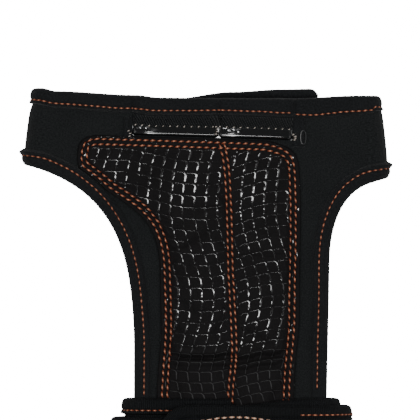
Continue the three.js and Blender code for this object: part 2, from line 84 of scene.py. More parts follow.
wrap = {
    "thickness": 1.6, "width": 70.0, "centre": 7.5, "inner": 7.5, "arch": 2.5, "ease": 0.25,
    "end": 20.5, "corner": 8.0, "meet": 2.0,
    "slip": [(0, 0.012), (0.75, 0.012), (1, 0.04), (1.25, 0.092), (1.5, 0.06), (1.75, 0.042), (2, 0.036),
             (2.5, 0.036)],
    # the outer turn's upper edge has no topstitch above the label, and a seam nearer to the edge past it
    "plain": (-16, 27.3), "plainAbove": -20, "nearer": 0.85, "nearerFrom": 24, "nearerOver": 3,
}
padThickness = 1.6
webPlaces = [-21.6, 3.9, 26.4]

backHeight = proud + half
foldPlane = backHeight + 2 * palm["fold"]
bandHalf = (palm["width"] - cloth["neoprene"]) / 2
cutStart = bandHalf - palm["fold"]
bandSpan = cutStart - 1
wristSpan = bandSpan * 0.95
pitch = wrap["thickness"] + 2 * proud + gap
ringHeight = wrap["inner"] + pitch + wrap["thickness"] / 2 + proud
tongueReach = palm["tongueWidth"] / 2 + cloth["nose"] + cloth["tape"] / 2
ringFlat = (tongueReach + abs(wrap["centre"] - palm["tongueCentre"]) + gap + wrap["ease"]
            - (wrap["inner"] - wrap["thickness"] / 2 - proud))
underTurn = wrap["thickness"] / 2 + proud + 2 * gap + padThickness + half
wristCrown = ringHeight + wrap["inner"] + wrap["arch"] - underTurn


def ease(t):
    t = np.clip(t, 0.0, 1.0)
    return t * t * (3 - 2 * t)


def lerp(a, b, t):
    return a + (b - a) * t


def readTable(rows, place):
    places, values = np.array(rows, float).T
    spot = np.clip(np.searchsorted(places, place, side="right") - 1, 0, len(places) - 2)
    share = (place - places[spot]) / (places[spot + 1] - places[spot])
    return lerp(values[spot], values[spot + 1], ease(share))


def cornerPull(distance, radius):
    inside = np.maximum(0, radius - distance)
    return radius - np.sqrt(radius * radius - inside * inside)


def unit(v):
    return v / np.maximum(np.linalg.norm(v, axis=-1, keepdims=True), 1e-9)


def join(*parts):
    # lays the parts side by side as the last axis
    return np.stack(np.broadcast_arrays(*parts), -1)


def bell(offset, width):
    return np.exp(-(offset / width) ** 2)


def runLength(line):
    # the distance gone at each point of a line
    return np.concatenate([[0], np.cumsum(np.linalg.norm(np.diff(line, axis=0), axis=1))])


def readLine(spots, run, line):
    return np.stack([np.interp(spots, run, column) for column in line.T], -1)


def fromEnds(count):
    return np.minimum(np.arange(count), np.arange(count)[::-1])


def hemAt(x):
    return palm["length"] + palm["hemRise"] * readTable(palm["hem"], x / bandHalf)


def lowerLine(x):
    return lerp(palm["thumbCorner"], palm["littleCorner"], (x + bandHalf) / (2 * bandHalf))


def bandFoot(side):
    return palm["thumbCorner"] if side < 0 else palm["littleCorner"]


def cutCorner(side):
    return bandFoot(side) - palm["slip"]


def foldX(side, y):
    up = np.clip((y - bandFoot(side)) / (palm["length"] - bandFoot(side)), 0, 1)
    return side * (bandHalf - up * palm["taper"] / 2 + palm["bulge"] * (1 - (2 * up - 1) ** 4))


# small unevenness of soft cloth, and the creases where the finger walls are sewn to the hem
ripples = [(0.11, 0.05, 0.4, 0.16), (-0.07, 0.13, 1.9, 0.14), (0.19, -0.09, 3.1, 0.07),
           (0.05, 0.24, 0.7, 0.06)]
webCrease = {"depth": 2.0, "width": 1.2, "fade": 4.0, "lean": 0.02}


def softness(x, y):
    total = sum(size * np.sin(a * x + b * y + phase) for a, b, phase, size in ripples)
    for place in webPlaces:
        down = hemAt(place) - y
        near = bell(x - place - webCrease["lean"] * down, webCrease["width"])
        total = total - webCrease["depth"] * near * bell(down, webCrease["fade"])
    return total


def bandSwell(y):
    return readTable(palm["swell"], y / palm["length"]) * palm["rise"]


def palmHeight(x, y):
    share = ease(y / palm["littleCorner"])
    edge = math.cos(math.pi * palm["tongueWidth"] / 4 / wristSpan) ** 2
    wristBase = (ringHeight - wristCrown * edge) / (1 - edge)
    base = lerp(wristBase, foldPlane, share)
    crown = lerp(wristCrown, foldPlane + palm["rise"], share) + bandSwell(y)
    middle = lerp(palm["tongueCentre"], 0, share)
    span = lerp(wristSpan, bandSpan, share)
    arch = np.cos(np.pi / 2 * np.minimum(1, np.abs(x - middle) / span)) ** 2
    reach = np.where(x < middle, -foldX(-1, y), foldX(1, y))
    past = np.maximum(0, np.abs(x) - (reach - palm["fold"]))
    drop = palm["fold"] - np.sqrt(np.maximum(0, palm["fold"] ** 2 - past ** 2))
    calm = ease((reach - palm["fold"] - np.abs(x)) / 6) * ease((y + 2) / 6)
    return base + (crown - base) * arch - drop + calm * softness(x, y)


def palmNormal(x, y, step=0.4):
    slopeX = (palmHeight(x + step, y) - palmHeight(x - step, y)) / (2 * step)
    slopeY = (palmHeight(x, y + step) - palmHeight(x, y - step)) / (2 * step)
    return unit(join(-slopeX, -slopeY, 1.0))


def palmPoint(x, y, lift):
    x, y = np.broadcast_arrays(np.asarray(x, float), np.asarray(y, float))
    lift = np.asarray(lift)[..., None] if np.ndim(lift) else lift
    return join(x, y, palmHeight(x, y)) + palmNormal(x, y) * lift


def cutEdge(side, y):
    corner = cutCorner(side)
    end = palm["thumbCutEnd"] if side < 0 else palm["littleCutEnd"]
    wristX = palm["tongueCentre"] + side * palm["tongueWidth"] / 2
    endX = wristX + (palm["flare"] if side > 0 else 0)
    rows = np.array(palm["thumbCut"] if side < 0 else palm["littleCut"])
    px = lerp(side * cutStart, endX, rows[:, 0])
    py = lerp(corner, end, rows[:, 1])
    t = np.linspace(0, 1, 400)
    weights = np.stack([(1 - t) ** 3, 3 * (1 - t) ** 2 * t, 3 * (1 - t) * t * t, t ** 3])
    curveX, curveY = px @ weights, py @ weights
    straight = lerp(wristX, endX, np.maximum(0, y / end))
    return np.where(y <= end, straight, np.interp(y, curveY[::-1], curveX[::-1]))


# the frame's own place of the pattern's zero, read from the back panel, which is flat
panelLow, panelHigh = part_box("back_panel")
zero = np.array([
    panelHigh.x / millimetre - palm["littleSeam"],
    panelLow.y / millimetre - float(lowerLine(palm["littleSeam"])),
    panelLow.z / millimetre - proud,
])


def toFrame(points):
    return (np.asarray(points, float) + zero) * millimetre


# sheets, walls, tapes and stitches

def quadsOf(at):
    return join(at[:-1, :-1], at[1:, :-1], at[1:, 1:], at[:-1, 1:]).reshape(-1, 4)


def gridQuads(rows, columns):
    return quadsOf(np.arange((rows + 1) * (columns + 1)).reshape(rows + 1, columns + 1))


def faceCross(points, quads):
    return np.cross(points[quads[:, 2]] - points[quads[:, 0]], points[quads[:, 3]] - points[quads[:, 1]])


def sheetNormals(points, quads):
    face = faceCross(points, quads)
    normals = np.zeros_like(points)
    for corner in range(4):
        np.add.at(normals, quads[:, corner], face)
    return unit(normals)


def shell(top, under, quads, uv):
    # closes the space between two sheets that share their quads
    count = len(top)
    edges = np.concatenate([quads[:, [a, b]] for a, b in ((0, 1), (1, 2), (2, 3), (3, 0))])
    key = edges[:, 0].astype(np.int64) * count + edges[:, 1]
    twin = edges[:, 1].astype(np.int64) * count + edges[:, 0]
    start, end = edges[~np.isin(key, twin)].T
    faces = np.concatenate([quads, quads[:, ::-1] + count, join(end, start, start + count, end + count)])
    return np.concatenate([top, under]), faces, np.concatenate([uv, uv])


def wall(points, quads, uv, over, under):
    # thickens a sheet: it then stands over and under its middle by these amounts
    normals = sheetNormals(points, quads)
    over = np.broadcast_to(over, len(points))[:, None]
    under = np.broadcast_to(under, len(points))[:, None]
    return shell(points + normals * over, points - normals * under, quads, uv)


def gridShell(top, under, uv):
    quads = gridQuads(top.shape[0] - 1, top.shape[1] - 1)
    return shell(top.reshape(-1, 3), under.reshape(-1, 3), quads, uv.reshape(-1, 2))


def gridWall(points, uv, over, under):
    quads = gridQuads(points.shape[0] - 1, points.shape[1] - 1)
    return wall(points.reshape(-1, 3), quads, uv.reshape(-1, 2), over, under)


def addObject(name, data):
    made = bpy.data.objects.new(name, data)
    bpy.context.scene.collection.objects.link(made)
    return made


def secondMaterial(piece, material, chosen):
    # the chosen faces take another material
    piece.data.materials.append(material)
    piece.data.polygons.foreach_set("material_index", chosen.astype(np.int32))


def makePiece(name, points, faces, uv, material, slot, sharp=50):
    mesh = bpy.data.meshes.new(name)
    mesh.from_pydata(toFrame(points), [], faces.tolist() if hasattr(faces, "tolist") else faces)
    layer = mesh.uv_layers.new(name="pattern")
    loops = np.empty(len(mesh.loops), np.int32)
    mesh.loops.foreach_get("vertex_index", loops)
    layer.data.foreach_set("uv", np.asarray(uv, np.float32)[loops].ravel())
    mesh.polygons.foreach_set("use_smooth", np.ones(len(mesh.polygons), bool))
    if sharp:
        mesh.set_sharp_from_angle(angle=math.radians(sharp))
    mesh.validate()
    mesh.materials.append(material)
    piece = addObject(name, mesh)
    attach(piece, "root")
    return piece


def resample(points, normals, step):
    run = runLength(points)
    spots = np.linspace(0, run[-1], max(2, int(round(run[-1] / step)) + 1))
    return readLine(spots, run, points), unit(readLine(spots, run, normals)), spots


def outwards(path, normals, side):
    return unit(np.cross(normals, unit(np.gradient(path, axis=0)))) * side


# how much wider the tape is along the front hem: place across, width added to its seam
hemWide = [(-54, 0), (-36, 0.4), (-21.6, 0.6), (-11, 0.4), (4.8, 0.1), (15, 0.4), (22.5, 0.8), (31.5, 1.6),
           (43, 1.2), (54, 0.6)]
hemNips = [(0.4, 0.95), (0.25, 2.4)]  # depth and width of the sharp crease, and of the dip round it


def onFront(path):
    return path[:, 2] > 9


def hemWider(path):
    return readTable(hemWide, path[:, 0]) * onFront(path)


def nipsAt(path):
    # where the finger walls pull the front hem in
    return onFront(path) * sum(depth * sum(bell(path[:, 0] - place, width) for place in webPlaces)
                               for depth, width in hemNips)


def runsOf(keep, least):
    # first and last of each unbroken run
    edges = np.flatnonzero(np.diff(np.concatenate([[0], keep.astype(int), [0]])))
    return [(low, high) for low, high in zip(edges[::2], edges[1::2]) if high - low >= least]


tapeForm = {
    "shares": [1, 0.95, 0.89, 0.8, 0.71, 0.62, 0.54, 0.45, 0.32, 0.16, 0.02], "turns": [70, 50, 28, 8],
    "lowPuff": 0.26, "highPuff": 0.72, "pressed": 0.3, "edgeDrop": 1.35, "edgeFrom": 0.87, "groove": 0.42,
    "pucker": 1.8,
}
topstitch = {"in": 2.45, "pitch": 1.83, "length": 1.82, "radius": 0.19}


def bindTape(path, normals, side, thickness, leg=cloth["leg"], out=None, step=0.4, nips=False):
    # folded tape round an edge: a groove under the topstitch, and a small pucker at every stitch
    path, normals, spots = resample(path, normals, step)
    seam = topstitch["in"]
    nip = nipsAt(path) if nips else np.zeros(len(path))
    out = outwards(path, normals, side) if out is None else np.broadcast_to(out, path.shape)
    far = thickness / 2 + gap + cloth["tape"] / 2
    leg = np.interp(spots, *leg) if isinstance(leg, tuple) else np.full(len(path), leg)
    if nips:
        wider = hemWider(path)
        leg, seam = leg + 0.8 * wider, seam + wider
    shares = np.array(tapeForm["shares"])
    turns = np.radians(tapeForm["turns"] + [-turn for turn in tapeForm["turns"][::-1]])
    wave = np.cos(2 * math.pi * spots / tapeForm["pucker"])
    reach, rise, mark = [], [], []
    for sign, order in ((1, shares), (-1, shares[::-1])):
        # pressed flat where it lies on the table
        soft = lerp(tapeForm["pressed"], 1, ease(1 + 2 * sign * normals[:, 2]))
        for share in order:
            inward = leg * share
            groove = bell(inward - seam, tapeForm["groove"]) * (0.12 + 0.16 * (0.5 + 0.5 * wave))
            low = tapeForm["lowPuff"] * np.sin(math.pi * np.clip(inward / seam, 0, 1))
            high = np.sin(math.pi * np.clip((inward - seam) / (leg - seam + 0.8), 0, 1))
            puff = soft * (low + tapeForm["highPuff"] * high)
            puff = puff - tapeForm["edgeDrop"] * ease((share - tapeForm["edgeFrom"]) / 0.14)
            lifted = far + puff + 0.05 * np.sin(spots * 0.9 + inward) * share - groove
            sunk = nip * ease(inward / 1.2) if sign > 0 else 0
            reach.append(-inward - 0.25 * sunk)
            rise.append(sign * (lifted - sunk))
        if sign > 0:
            for turn in turns:
                reach.append((cloth["nose"] + 0.03 * wave) * np.cos(turn))
                rise.append(np.full(len(path), far * math.sin(turn)))
    reach, rise = np.stack(reach, 1), np.stack(rise, 1)
    if side < 0:
        reach, rise = reach[:, ::-1], rise[:, ::-1]
    points = path[:, None] + out[:, None] * reach[..., None] + normals[:, None] * rise[..., None]
    around = np.cumsum(np.linalg.norm(np.diff(points[0], axis=0, prepend=points[0][:1]), axis=1))
    return gridWall(points, join(spots[:, None], around[None]), cloth["tape"] / 2, cloth["tape"] / 2)


def tubeQuads(at):
    # the sides of tubes: the last axis goes round, the one before it along
    after = np.roll(at, -1, -1)
    return join(at[..., :-1, :], at[..., 1:, :], after[..., 1:, :], after[..., :-1, :]).reshape(-1, 4)


def stitchMesh(centres, along, normals, length, radius, slant=0.0):
    # each stitch is a short thread that rises out of the cloth and dives back in
    dive, sides = 2.21, 7
    steps = np.linspace(-1, 1, 9)
    count = len(centres)
    size = np.broadcast_to(length, count) * rng.uniform(0.93, 1.06, count)
    thick = radius * rng.uniform(0.93, 1.07, count)
    lean = np.radians(slant) + rng.normal(0, 0.05, count)
    across = np.cross(normals, along)
    forward = along * np.cos(lean)[:, None] + across * np.sin(lean)[:, None]
    across = np.cross(normals, forward)
    angles = np.linspace(0, 2 * math.pi, sides, endpoint=False)
    lift = thick[:, None] * (1.0 - dive * np.abs(steps) ** 3.2)[None]
    full = np.sqrt(np.clip(1 - 0.72 * np.abs(steps) ** 5, 0.05, 1))
    spine = (centres[:, None] + forward[:, None] * (steps[None, :, None] * size[:, None, None] / 2)
             + normals[:, None] * lift[..., None])
    ring = (across[:, None, None] * np.cos(angles)[None, None, :, None]
            + normals[:, None, None] * np.sin(angles)[None, None, :, None] * 0.85)
    ply = 1 + 0.1 * np.cos(2 * angles[None, None, :] + 5 * steps[None, :, None])
    points = spine[:, :, None] + ring * (thick[:, None, None] * full[None, :, None] * ply)[..., None]
    at = np.arange(count * len(steps) * sides).reshape(count, len(steps), sides)
    faces = tubeQuads(at)[:, ::-1].tolist()
    faces += at[:, 0].tolist()
    faces += at[:, -1, ::-1].tolist()
    alongUv = steps[None, :, None] + np.arange(count)[:, None, None] * 4.0
    return points.reshape(-1, 3), faces, join(alongUv, angles[None, None] * radius).reshape(-1, 2)


def joinMeshes(meshes):
    points, faces, uv, start = [], [], [], 0
    for one, quads, marks in meshes:
        points.append(one)
        faces += [[index + start for index in face] for face in quads]
        uv.append(marks)
        start += len(one)
    return np.concatenate(points), faces, np.concatenate(uv)


def stitchRun(path, normals, stitch):
    # one row of stitches of this pitch, length and radius along a line
    path, normals, spots = resample(path, normals, 0.3)
    count = int(spots[-1] / stitch["pitch"])
    places = (np.arange(count) + 0.5) * spots[-1] / count
    centres = readLine(places, spots, path)
    ups = unit(readLine(places, spots, normals))
    along = unit(readLine(places, spots, np.gradient(path, axis=0)))
    along = unit(along - ups * np.sum(along * ups, -1, keepdims=True))
    centres = centres + ups * stitch.get("lift", 0.0)
    return stitchMesh(centres, along, ups, stitch["length"], stitch["radius"], stitch.get("slant", 0.0))


# materials: shared effects are node groups, the shader stays in each material

def newGroup(name, inputs, outputs):
    tree = bpy.data.node_groups.new(name, "ShaderNodeTree")
    for label, kind, value in inputs:
        socket = tree.interface.new_socket(name=label, in_out="INPUT", socket_type="NodeSocket" + kind)
        if value is not None:
            socket.default_value = value
    for label, kind in outputs:
        tree.interface.new_socket(name=label, in_out="OUTPUT", socket_type="NodeSocket" + kind)
    return tree, tree.nodes.new("NodeGroupInput").outputs, tree.nodes.new("NodeGroupOutput").inputs


def addNode(tree, kind, links=None, **settings):
    made = tree.nodes.new(kind)
    for key, value in settings.items():
        setattr(made, key, value)
    for socket, source in (links or {}).items():
        if isinstance(source, bpy.types.NodeSocket):
            tree.links.new(source, made.inputs[socket])
        else:
            made.inputs[socket].default_value = source
    return made


def compute(tree, operation, a, b=0.0, c=0.0):
    return addNode(tree, "ShaderNodeMath", {0: a, 1: b, 2: c}, operation=operation).outputs[0]


def noise(tree, place, scale, detail, rough=0.5):
    inputs = {"Vector": place, "Scale": scale, "Detail": detail, "Roughness": rough}
    return addNode(tree, "ShaderNodeTexNoise", inputs).outputs["Fac"]


def mapRange(tree, value, **limits):
    inputs = {"Value": value, **{key.replace("_", " "): limit for key, limit in limits.items()}}
    return addNode(tree, "ShaderNodeMapRange", inputs).outputs[0]


def blendColors(tree, share, start, end):
    mix = addNode(tree, "ShaderNodeMix", {0: share}, data_type="RGBA")
    for socket, source in (("A", start), ("B", end)):
        if isinstance(source, bpy.types.NodeSocket):
            tree.links.new(source, mix.inputs[socket])
        else:
            mix.inputs[socket].default_value = (*source, 1)
    return mix.outputs["Result"]


def knitGroup():
    # mottled yarn colour over a fine jersey knit
    tree, start, end = newGroup(
        "heatherKnit",
        [("Vector", "Vector", None), ("Stitches", "Float", 2.2), ("Mottle", "Float", 0.35),
         ("Base", "Color", None), ("Light", "Color", None)],
        [("Color", "Color"), ("Height", "Float"), ("Rough", "Float")],
    )
    place = start["Vector"]
    fine = noise(tree, place, 2.4, 5.0, 0.8)
    broad = noise(tree, place, 0.09, 3.0)
    count = {0: place, "Scale": start["Stitches"]}
    scaled = addNode(tree, "ShaderNodeVectorMath", count, operation="SCALE").outputs[0]
    split = addNode(tree, "ShaderNodeSeparateXYZ", {0: scaled}).outputs
    ribs = compute(tree, "ABSOLUTE", compute(tree, "SINE", compute(tree, "MULTIPLY", split["X"], math.pi)))
    skew = compute(tree, "MULTIPLY_ADD", split["Y"], 2 * math.pi, compute(tree, "MULTIPLY", ribs, 2.2))
    loops = compute(tree, "ADD", compute(tree, "ABSOLUTE", compute(tree, "SINE", skew)), 0.6)
    knit = compute(tree, "MULTIPLY", ribs, loops)
    speck = mapRange(tree, fine, From_Min=0.4, From_Max=0.68)
    amount = compute(tree, "MULTIPLY", speck, start["Mottle"])
    cloudy = compute(tree, "MULTIPLY_ADD", broad, 0.3, -0.1)
    color = blendColors(tree, compute(tree, "ADD", amount, cloudy), start["Base"], start["Light"])
    tree.links.new(color, end["Color"])
    height = compute(tree, "MULTIPLY_ADD", fine, 2.2, compute(tree, "MULTIPLY", knit, 0.35))
    tree.links.new(height, end["Height"])
    tree.links.new(compute(tree, "MULTIPLY_ADD", speck, -0.08, 0.92), end["Rough"])
    return tree


def ribGroup():
    # raised ribs across a tape or an elastic, with yarns laid between them; the colour is painted lighter on
    # the rib crests and darker between them, as painted light and shade
    tree, start, end = newGroup(
        "clothRibs",
        [("Vector", "Vector", None), ("Pitch", "Float", 0.8), ("Slant", "Float", 0.0),
         ("Base", "Color", None), ("Light", "Color", None)],
        [("Color", "Color"), ("Height", "Float")],
    )
    split = addNode(tree, "ShaderNodeSeparateXYZ", {0: start["Vector"]}).outputs
    leaning = compute(tree, "MULTIPLY_ADD", split["Y"], start["Slant"], split["X"])
    phase = compute(tree, "DIVIDE", compute(tree, "MULTIPLY", leaning, 2 * math.pi), start["Pitch"])
    wave = compute(tree, "MULTIPLY_ADD", compute(tree, "SINE", phase), 0.5, 0.5)
    threads = compute(tree, "SINE", compute(tree, "MULTIPLY", split["Y"], 9.0))
    yarn = compute(tree, "MULTIPLY_ADD", threads, 0.15, 0.15)
    fine = noise(tree, start["Vector"], 3.0, 4.0)
    height = compute(tree, "MULTIPLY_ADD", fine, 0.5, compute(tree, "ADD", wave, yarn))
    # painted light and shade: the colour follows the rib height, lighter on the crests and darker in the
    # grooves
    paintedCrestLight = compute(tree, "MULTIPLY", wave, fine)
    tree.links.new(blendColors(tree, paintedCrestLight, start["Base"], start["Light"]), end["Color"])
    tree.links.new(height, end["Height"])
    return tree


heatherKnit = knitGroup()
clothRibs = ribGroup()


def startMaterial(name, **values):
    material = bpy.data.materials.new(name)
    material.use_nodes = True
    tree = material.node_tree
    shader = tree.nodes["Principled BSDF"]
    for key, value in values.items():
        shader.inputs[key].default_value = value
    return material, tree, shader, addNode(tree, "ShaderNodeUVMap", uv_map="pattern").outputs["UV"]


def addBump(tree, shader, height, depth):
    bump = addNode(tree, "ShaderNodeBump", {"Height": height, "Distance": depth, "Strength": 1.0})
    tree.links.new(bump.outputs["Normal"], shader.inputs["Normal"])


def groupMaterial(name, group, inputs, depth, **values):
    # a cloth whose colour and relief come from one of the shared groups
    material, tree, shader, place = startMaterial(name, **values)
    effect = addNode(tree, "ShaderNodeGroup", node_tree=group)
    tree.links.new(place, effect.inputs["Vector"])
    for key, value in inputs.items():
        effect.inputs[key].default_value = (*value, 1) if isinstance(value, tuple) else value
    tree.links.new(effect.outputs["Color"], shader.inputs["Base Color"])
    if "Rough" in effect.outputs:
        tree.links.new(effect.outputs["Rough"], shader.inputs["Roughness"])
    addBump(tree, shader, effect.outputs["Height"], depth)
    return material


def threadMaterial(name, paintedDiveShade, light, paintedGlint):
    # twisted thread, with painted shade where it dives into the cloth and a painted highlight on its crown
    material, tree, shader, place = startMaterial(name, **{"Roughness": 0.55, "Specular IOR Level": 0.25})
    split = addNode(tree, "ShaderNodeSeparateXYZ", {0: place}).outputs
    along = compute(tree, "WRAP", split["X"], 2.0, -2.0)
    risen = compute(tree, "SUBTRACT", 1.0, compute(tree, "ABSOLUTE", along))
    twist = {"Vector": place, "Scale": 1.3, "Distortion": 0.6}
    ply = addNode(tree, "ShaderNodeTexWave", twist, bands_direction="DIAGONAL").outputs["Fac"]
    tint = noise(tree, place, 0.4, 2.0)
    varied = compute(tree, "MULTIPLY_ADD", tint, 0.7, compute(tree, "MULTIPLY_ADD", ply, 0.35, 0.35))
    # painted shade: the colour darkens towards both ends of each stitch, where the thread dives into the cloth
    paintedShadeOrRoughness = compute(tree, "MULTIPLY", compute(tree, "POWER", risen, 0.6), varied)
    body = blendColors(tree, paintedShadeOrRoughness, paintedDiveShade, light)
    # painted highlight: a pale glint on the middle of each stitch's crown
    paintedGlintShare = compute(tree, "MULTIPLY", compute(tree, "POWER", risen, 3.0), varied)
    tree.links.new(blendColors(tree, paintedGlintShare, body, paintedGlint), shader.inputs["Base Color"])
    addBump(tree, shader, ply, 0.00004)
    return material


def glossMaterial(name, color, rough, coat, coatIndex, lumpScale=2.2, depth=0.00005):
    # smooth rubbery film, a little uneven in gloss
    material, tree, shader, place = startMaterial(name, **{
        "Coat Weight": coat, "Coat Roughness": 0.13, "Coat IOR": coatIndex, "Specular IOR Level": 0.9,
    })
    lumps = noise(tree, place, lumpScale, 3.0)
    paintedShadeOrRoughness = mapRange(tree, lumps, To_Min=rough * 0.75, To_Max=rough * 1.4)
    shade = blendColors(tree, lumps, color, tuple(v * 1.5 for v in color))
    tree.links.new(shade, shader.inputs["Base Color"])
    tree.links.new(paintedShadeOrRoughness, shader.inputs["Roughness"])
    addBump(tree, shader, lumps, depth)
    return material


print("mixing materials")
# stitches or rib pitch, mottle or rib slant, the darker and the lighter colour (on the elastics the painted
# shade between the ribs and the painted light on their crests), depth of the relief
knits = {
    "neopreneCloth": (1.4, 0.9, (0.0044, 0.0052, 0.0055), (0.026, 0.029, 0.03), 0.00009),
    "tapeCloth": (1.9, 0.8, (0.0048, 0.0055, 0.0061), (0.024, 0.026, 0.028), 0.00007),
    "padCloth": (2.6, 0.5, (0.0072, 0.0066, 0.0068), (0.018, 0.0165, 0.017), 0.00003),
    "webKnit": (1.8, 0.5, (0.007, 0.0075, 0.008), (0.02, 0.021, 0.023), 0.00008),
    "hookPile": (3.2, 0.5, (0.004, 0.004, 0.004), (0.012, 0.012, 0.012), 0.0002),
    "labelSkin": (0.7, 0.4, (0.009, 0.0085, 0.0085), (0.018, 0.017, 0.017), 0.00004),
}
elastics = {
    "stripElastic": (0.72, 0.5, (0.0035, 0.004, 0.0045), (0.042, 0.045, 0.047), 0.00022),
    "wrapElastic": (0.66, 0.0, (0.003, 0.0035, 0.004), (0.018, 0.02, 0.022), 0.00022),
    "wrapTape": (0.5, 0.0, (0.0025, 0.003, 0.0035), (0.024, 0.026, 0.028), 0.0002),
}
# sheen weight and its roughness, then the roughness and specular level of the elastics
sheens = {"neopreneCloth": (0.06, 0.5), "tapeCloth": (0.08, 0.4)}
glosses = {"stripElastic": (0.55, 0.3), "wrapElastic": (0.85, 0.2), "wrapTape": (0.85, 0.2)}


def clothMaterial(name):
    knit = name in knits
    first, second, base, light, depth = (knits if knit else elastics)[name]
    labels = ("Stitches", "Mottle") if knit else ("Pitch", "Slant")
    values = {"Specular IOR Level": 0.2}
    if name in sheens:
        values["Sheen Weight"], values["Sheen Roughness"] = sheens[name]
    if name in glosses:
        values["Roughness"], values["Specular IOR Level"] = glosses[name]
    inputs = {labels[0]: first, labels[1]: second, "Base": base, "Light": light}
    return groupMaterial(name, heatherKnit if knit else clothRibs, inputs, depth, **values)


neopreneCloth, tapeCloth, padCloth, webKnit, hookPile, labelSkin = map(clothMaterial, knits)
stripElastic, wrapElastic, wrapTape = map(clothMaterial, elastics)
# painted shade where it dives into the cloth, its own colour along its side, and a painted highlight on its
# crown
orangeThread, peachThread, greyThread, beigeThread = (threadMaterial(*row) for row in (
    ("orangeThread", (0.035, 0.003, 0.0004), (0.32, 0.044, 0.003), (0.9, 0.42, 0.26)),
    ("peachThread", (0.3, 0.1, 0.05), (0.95, 0.6, 0.4), (1.0, 0.75, 0.6)),
    ("greyThread", (0.05, 0.05, 0.052), (0.22, 0.22, 0.22), (0.3, 0.3, 0.3)),
    ("beigeThread", (0.16, 0.11, 0.08), (0.8, 0.7, 0.6), (0.9, 0.85, 0.8)),
))
silicone = glossMaterial("silicone", (0.007, 0.0065, 0.007), 0.17, 1.0, 1.75)
wornSilicone = glossMaterial("wornSilicone", (0.009, 0.009, 0.0095), 0.55, 0.0, 1.5)
rolledFilm = glossMaterial("rolledFilm", (0.004, 0.0045, 0.005), 0.11, 1.0, 2.2, 0.4, 0.00002)

# palm body: the cut of neoprene, round both folds to its flaps, with the tongue
palmSteps = {"flap": 5, "fold": 14, "front": 96, "band": 22, "tongue": 130, "power": 1.35}


def palmSheet():
    flapSteps, foldSteps, frontSteps = (palmSteps[key] for key in ("flap", "fold", "front"))
    first = flapSteps + foldSteps
    fold = palm["fold"]
    down = np.linspace(0, 1, palmSteps["band"] + 1)[:, None]
    halves = []
    for side, seam in ((-1, palm["thumbSeam"]), (1, palm["littleSeam"] + gap)):
        low = lowerLine(side * bandHalf)
        topCentre = foldX(side, palm["length"]) - side * fold
        flap = np.linspace(0, 1, flapSteps + 1)[:-1][None]
        turn = np.linspace(0, 1, foldSteps + 1)[:-1][None]
        y = lerp(hemAt(lerp(seam, topCentre, flap)), low, down)
        flapPoints = join(lerp(seam, foldX(side, y) - side * fold, flap), y, backHeight)
        slip = palm["slip"] * np.maximum(0, 2 * turn - 1) ** 1.5
        reach = side * fold * np.sin(math.pi * turn)
        y = lerp(hemAt(topCentre + reach), low - slip, down)
        z = backHeight + fold * (1 - np.cos(math.pi * turn))
        halves.append(np.concatenate([flapPoints, join(foldX(side, y) - side * fold + reach, y, z)], 1))
    share = np.linspace(0, 1, frontSteps + 1)[None]
    topX = lerp(foldX(-1, palm["length"]) + fold, foldX(1, palm["length"]) - fold, share)
    x = lerp(topX, lerp(-cutStart, cutStart, share), down)
    y = lerp(hemAt(topX), lerp(cutCorner(-1), cutCorner(1), share), down)
    ring = np.concatenate([halves[0], join(x, y, palmHeight(x, y)), halves[1][:, ::-1]], 1)
    rows = (np.arange(1, palmSteps["tongue"] + 1) / palmSteps["tongue"]) ** palmSteps["power"]
    thumbY = lerp(cutCorner(-1), -palm["tail"], rows)
    littleY = lerp(cutCorner(1), -palm["tail"], rows)
    x = lerp(cutEdge(-1, thumbY)[:, None], cutEdge(1, littleY)[:, None], share)
    y = lerp(thumbY[:, None], littleY[:, None], share)
    tongue = join(x, y, palmHeight(x, y))
    across = runLength(ring[0])
    across = across - across[first + frontSteps // 2]
    uv = np.concatenate([join(across[None], ring[..., 1]).reshape(-1, 2), tongue[..., :2].reshape(-1, 2)])
    at = np.arange(ring.shape[0] * ring.shape[1]).reshape(ring.shape[:2])
    more = at.size + np.arange(tongue.shape[0] * tongue.shape[1]).reshape(tongue.shape[:2])
    grid = np.concatenate([at[-1:, first:first + frontSteps + 1], more])
    thumbEdge = np.concatenate([at[-1, :first], grid[:, 0]])
    littleEdge = np.concatenate([at[-1, ::-1][:first], grid[:, -1]])
    points = np.concatenate([ring.reshape(-1, 3), tongue.reshape(-1, 3)])
    return points, np.concatenate([quadsOf(at), quadsOf(grid)]), uv, at[0], thumbEdge, littleEdge


print("cutting the palm")
palmPoints, palmQuads, palmUv, hemLine, thumbEdge, littleEdge = palmSheet()
palmNormals = sheetNormals(palmPoints, palmQuads)
palmBody = makePiece("palmBody", *wall(palmPoints, palmQuads, palmUv, half, half), neopreneCloth,
                     "neoprene")
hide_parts("palm_body")

print("binding the edges")


def bindingStitches(path, normals, side, thickness, out=None, nips=False, keep=None, nearer=0):
    out = outwards(path, normals, side) if out is None else np.broadcast_to(out, path.shape)
    rise = thickness / 2 + gap + cloth["tape"] - 0.1 + 0.3 * nearer
    sink = nipsAt(path)[:, None] if nips else 0
    inward = topstitch["in"] + (hemWider(path)[:, None] if nips else -nearer)
    meshes = []
    for sign in (1, -1):
        line = path - out * inward + normals * (rise - sink * (sign > 0)) * sign
        for low, high in [(0, len(path))] if keep is None or sign < 0 else runsOf(keep, 6):
            meshes.append(stitchRun(line[low:high], normals[low:high] * sign, topstitch))
    return meshes


def bindEdge(name, cadNode, path, normals, side, thickness, slot, material=tapeCloth, **more):
    piece = makePiece(name, *bindTape(path, normals, side, thickness, **more), material, slot)
    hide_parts(cadNode)
    return piece


sideLeg = 4.1  # the tape is wider along the sides than round the hem
hemNipEnd = (26.1, 1.4)  # where the nip by the little finger swallows the topstitch: place, half width
seams = []
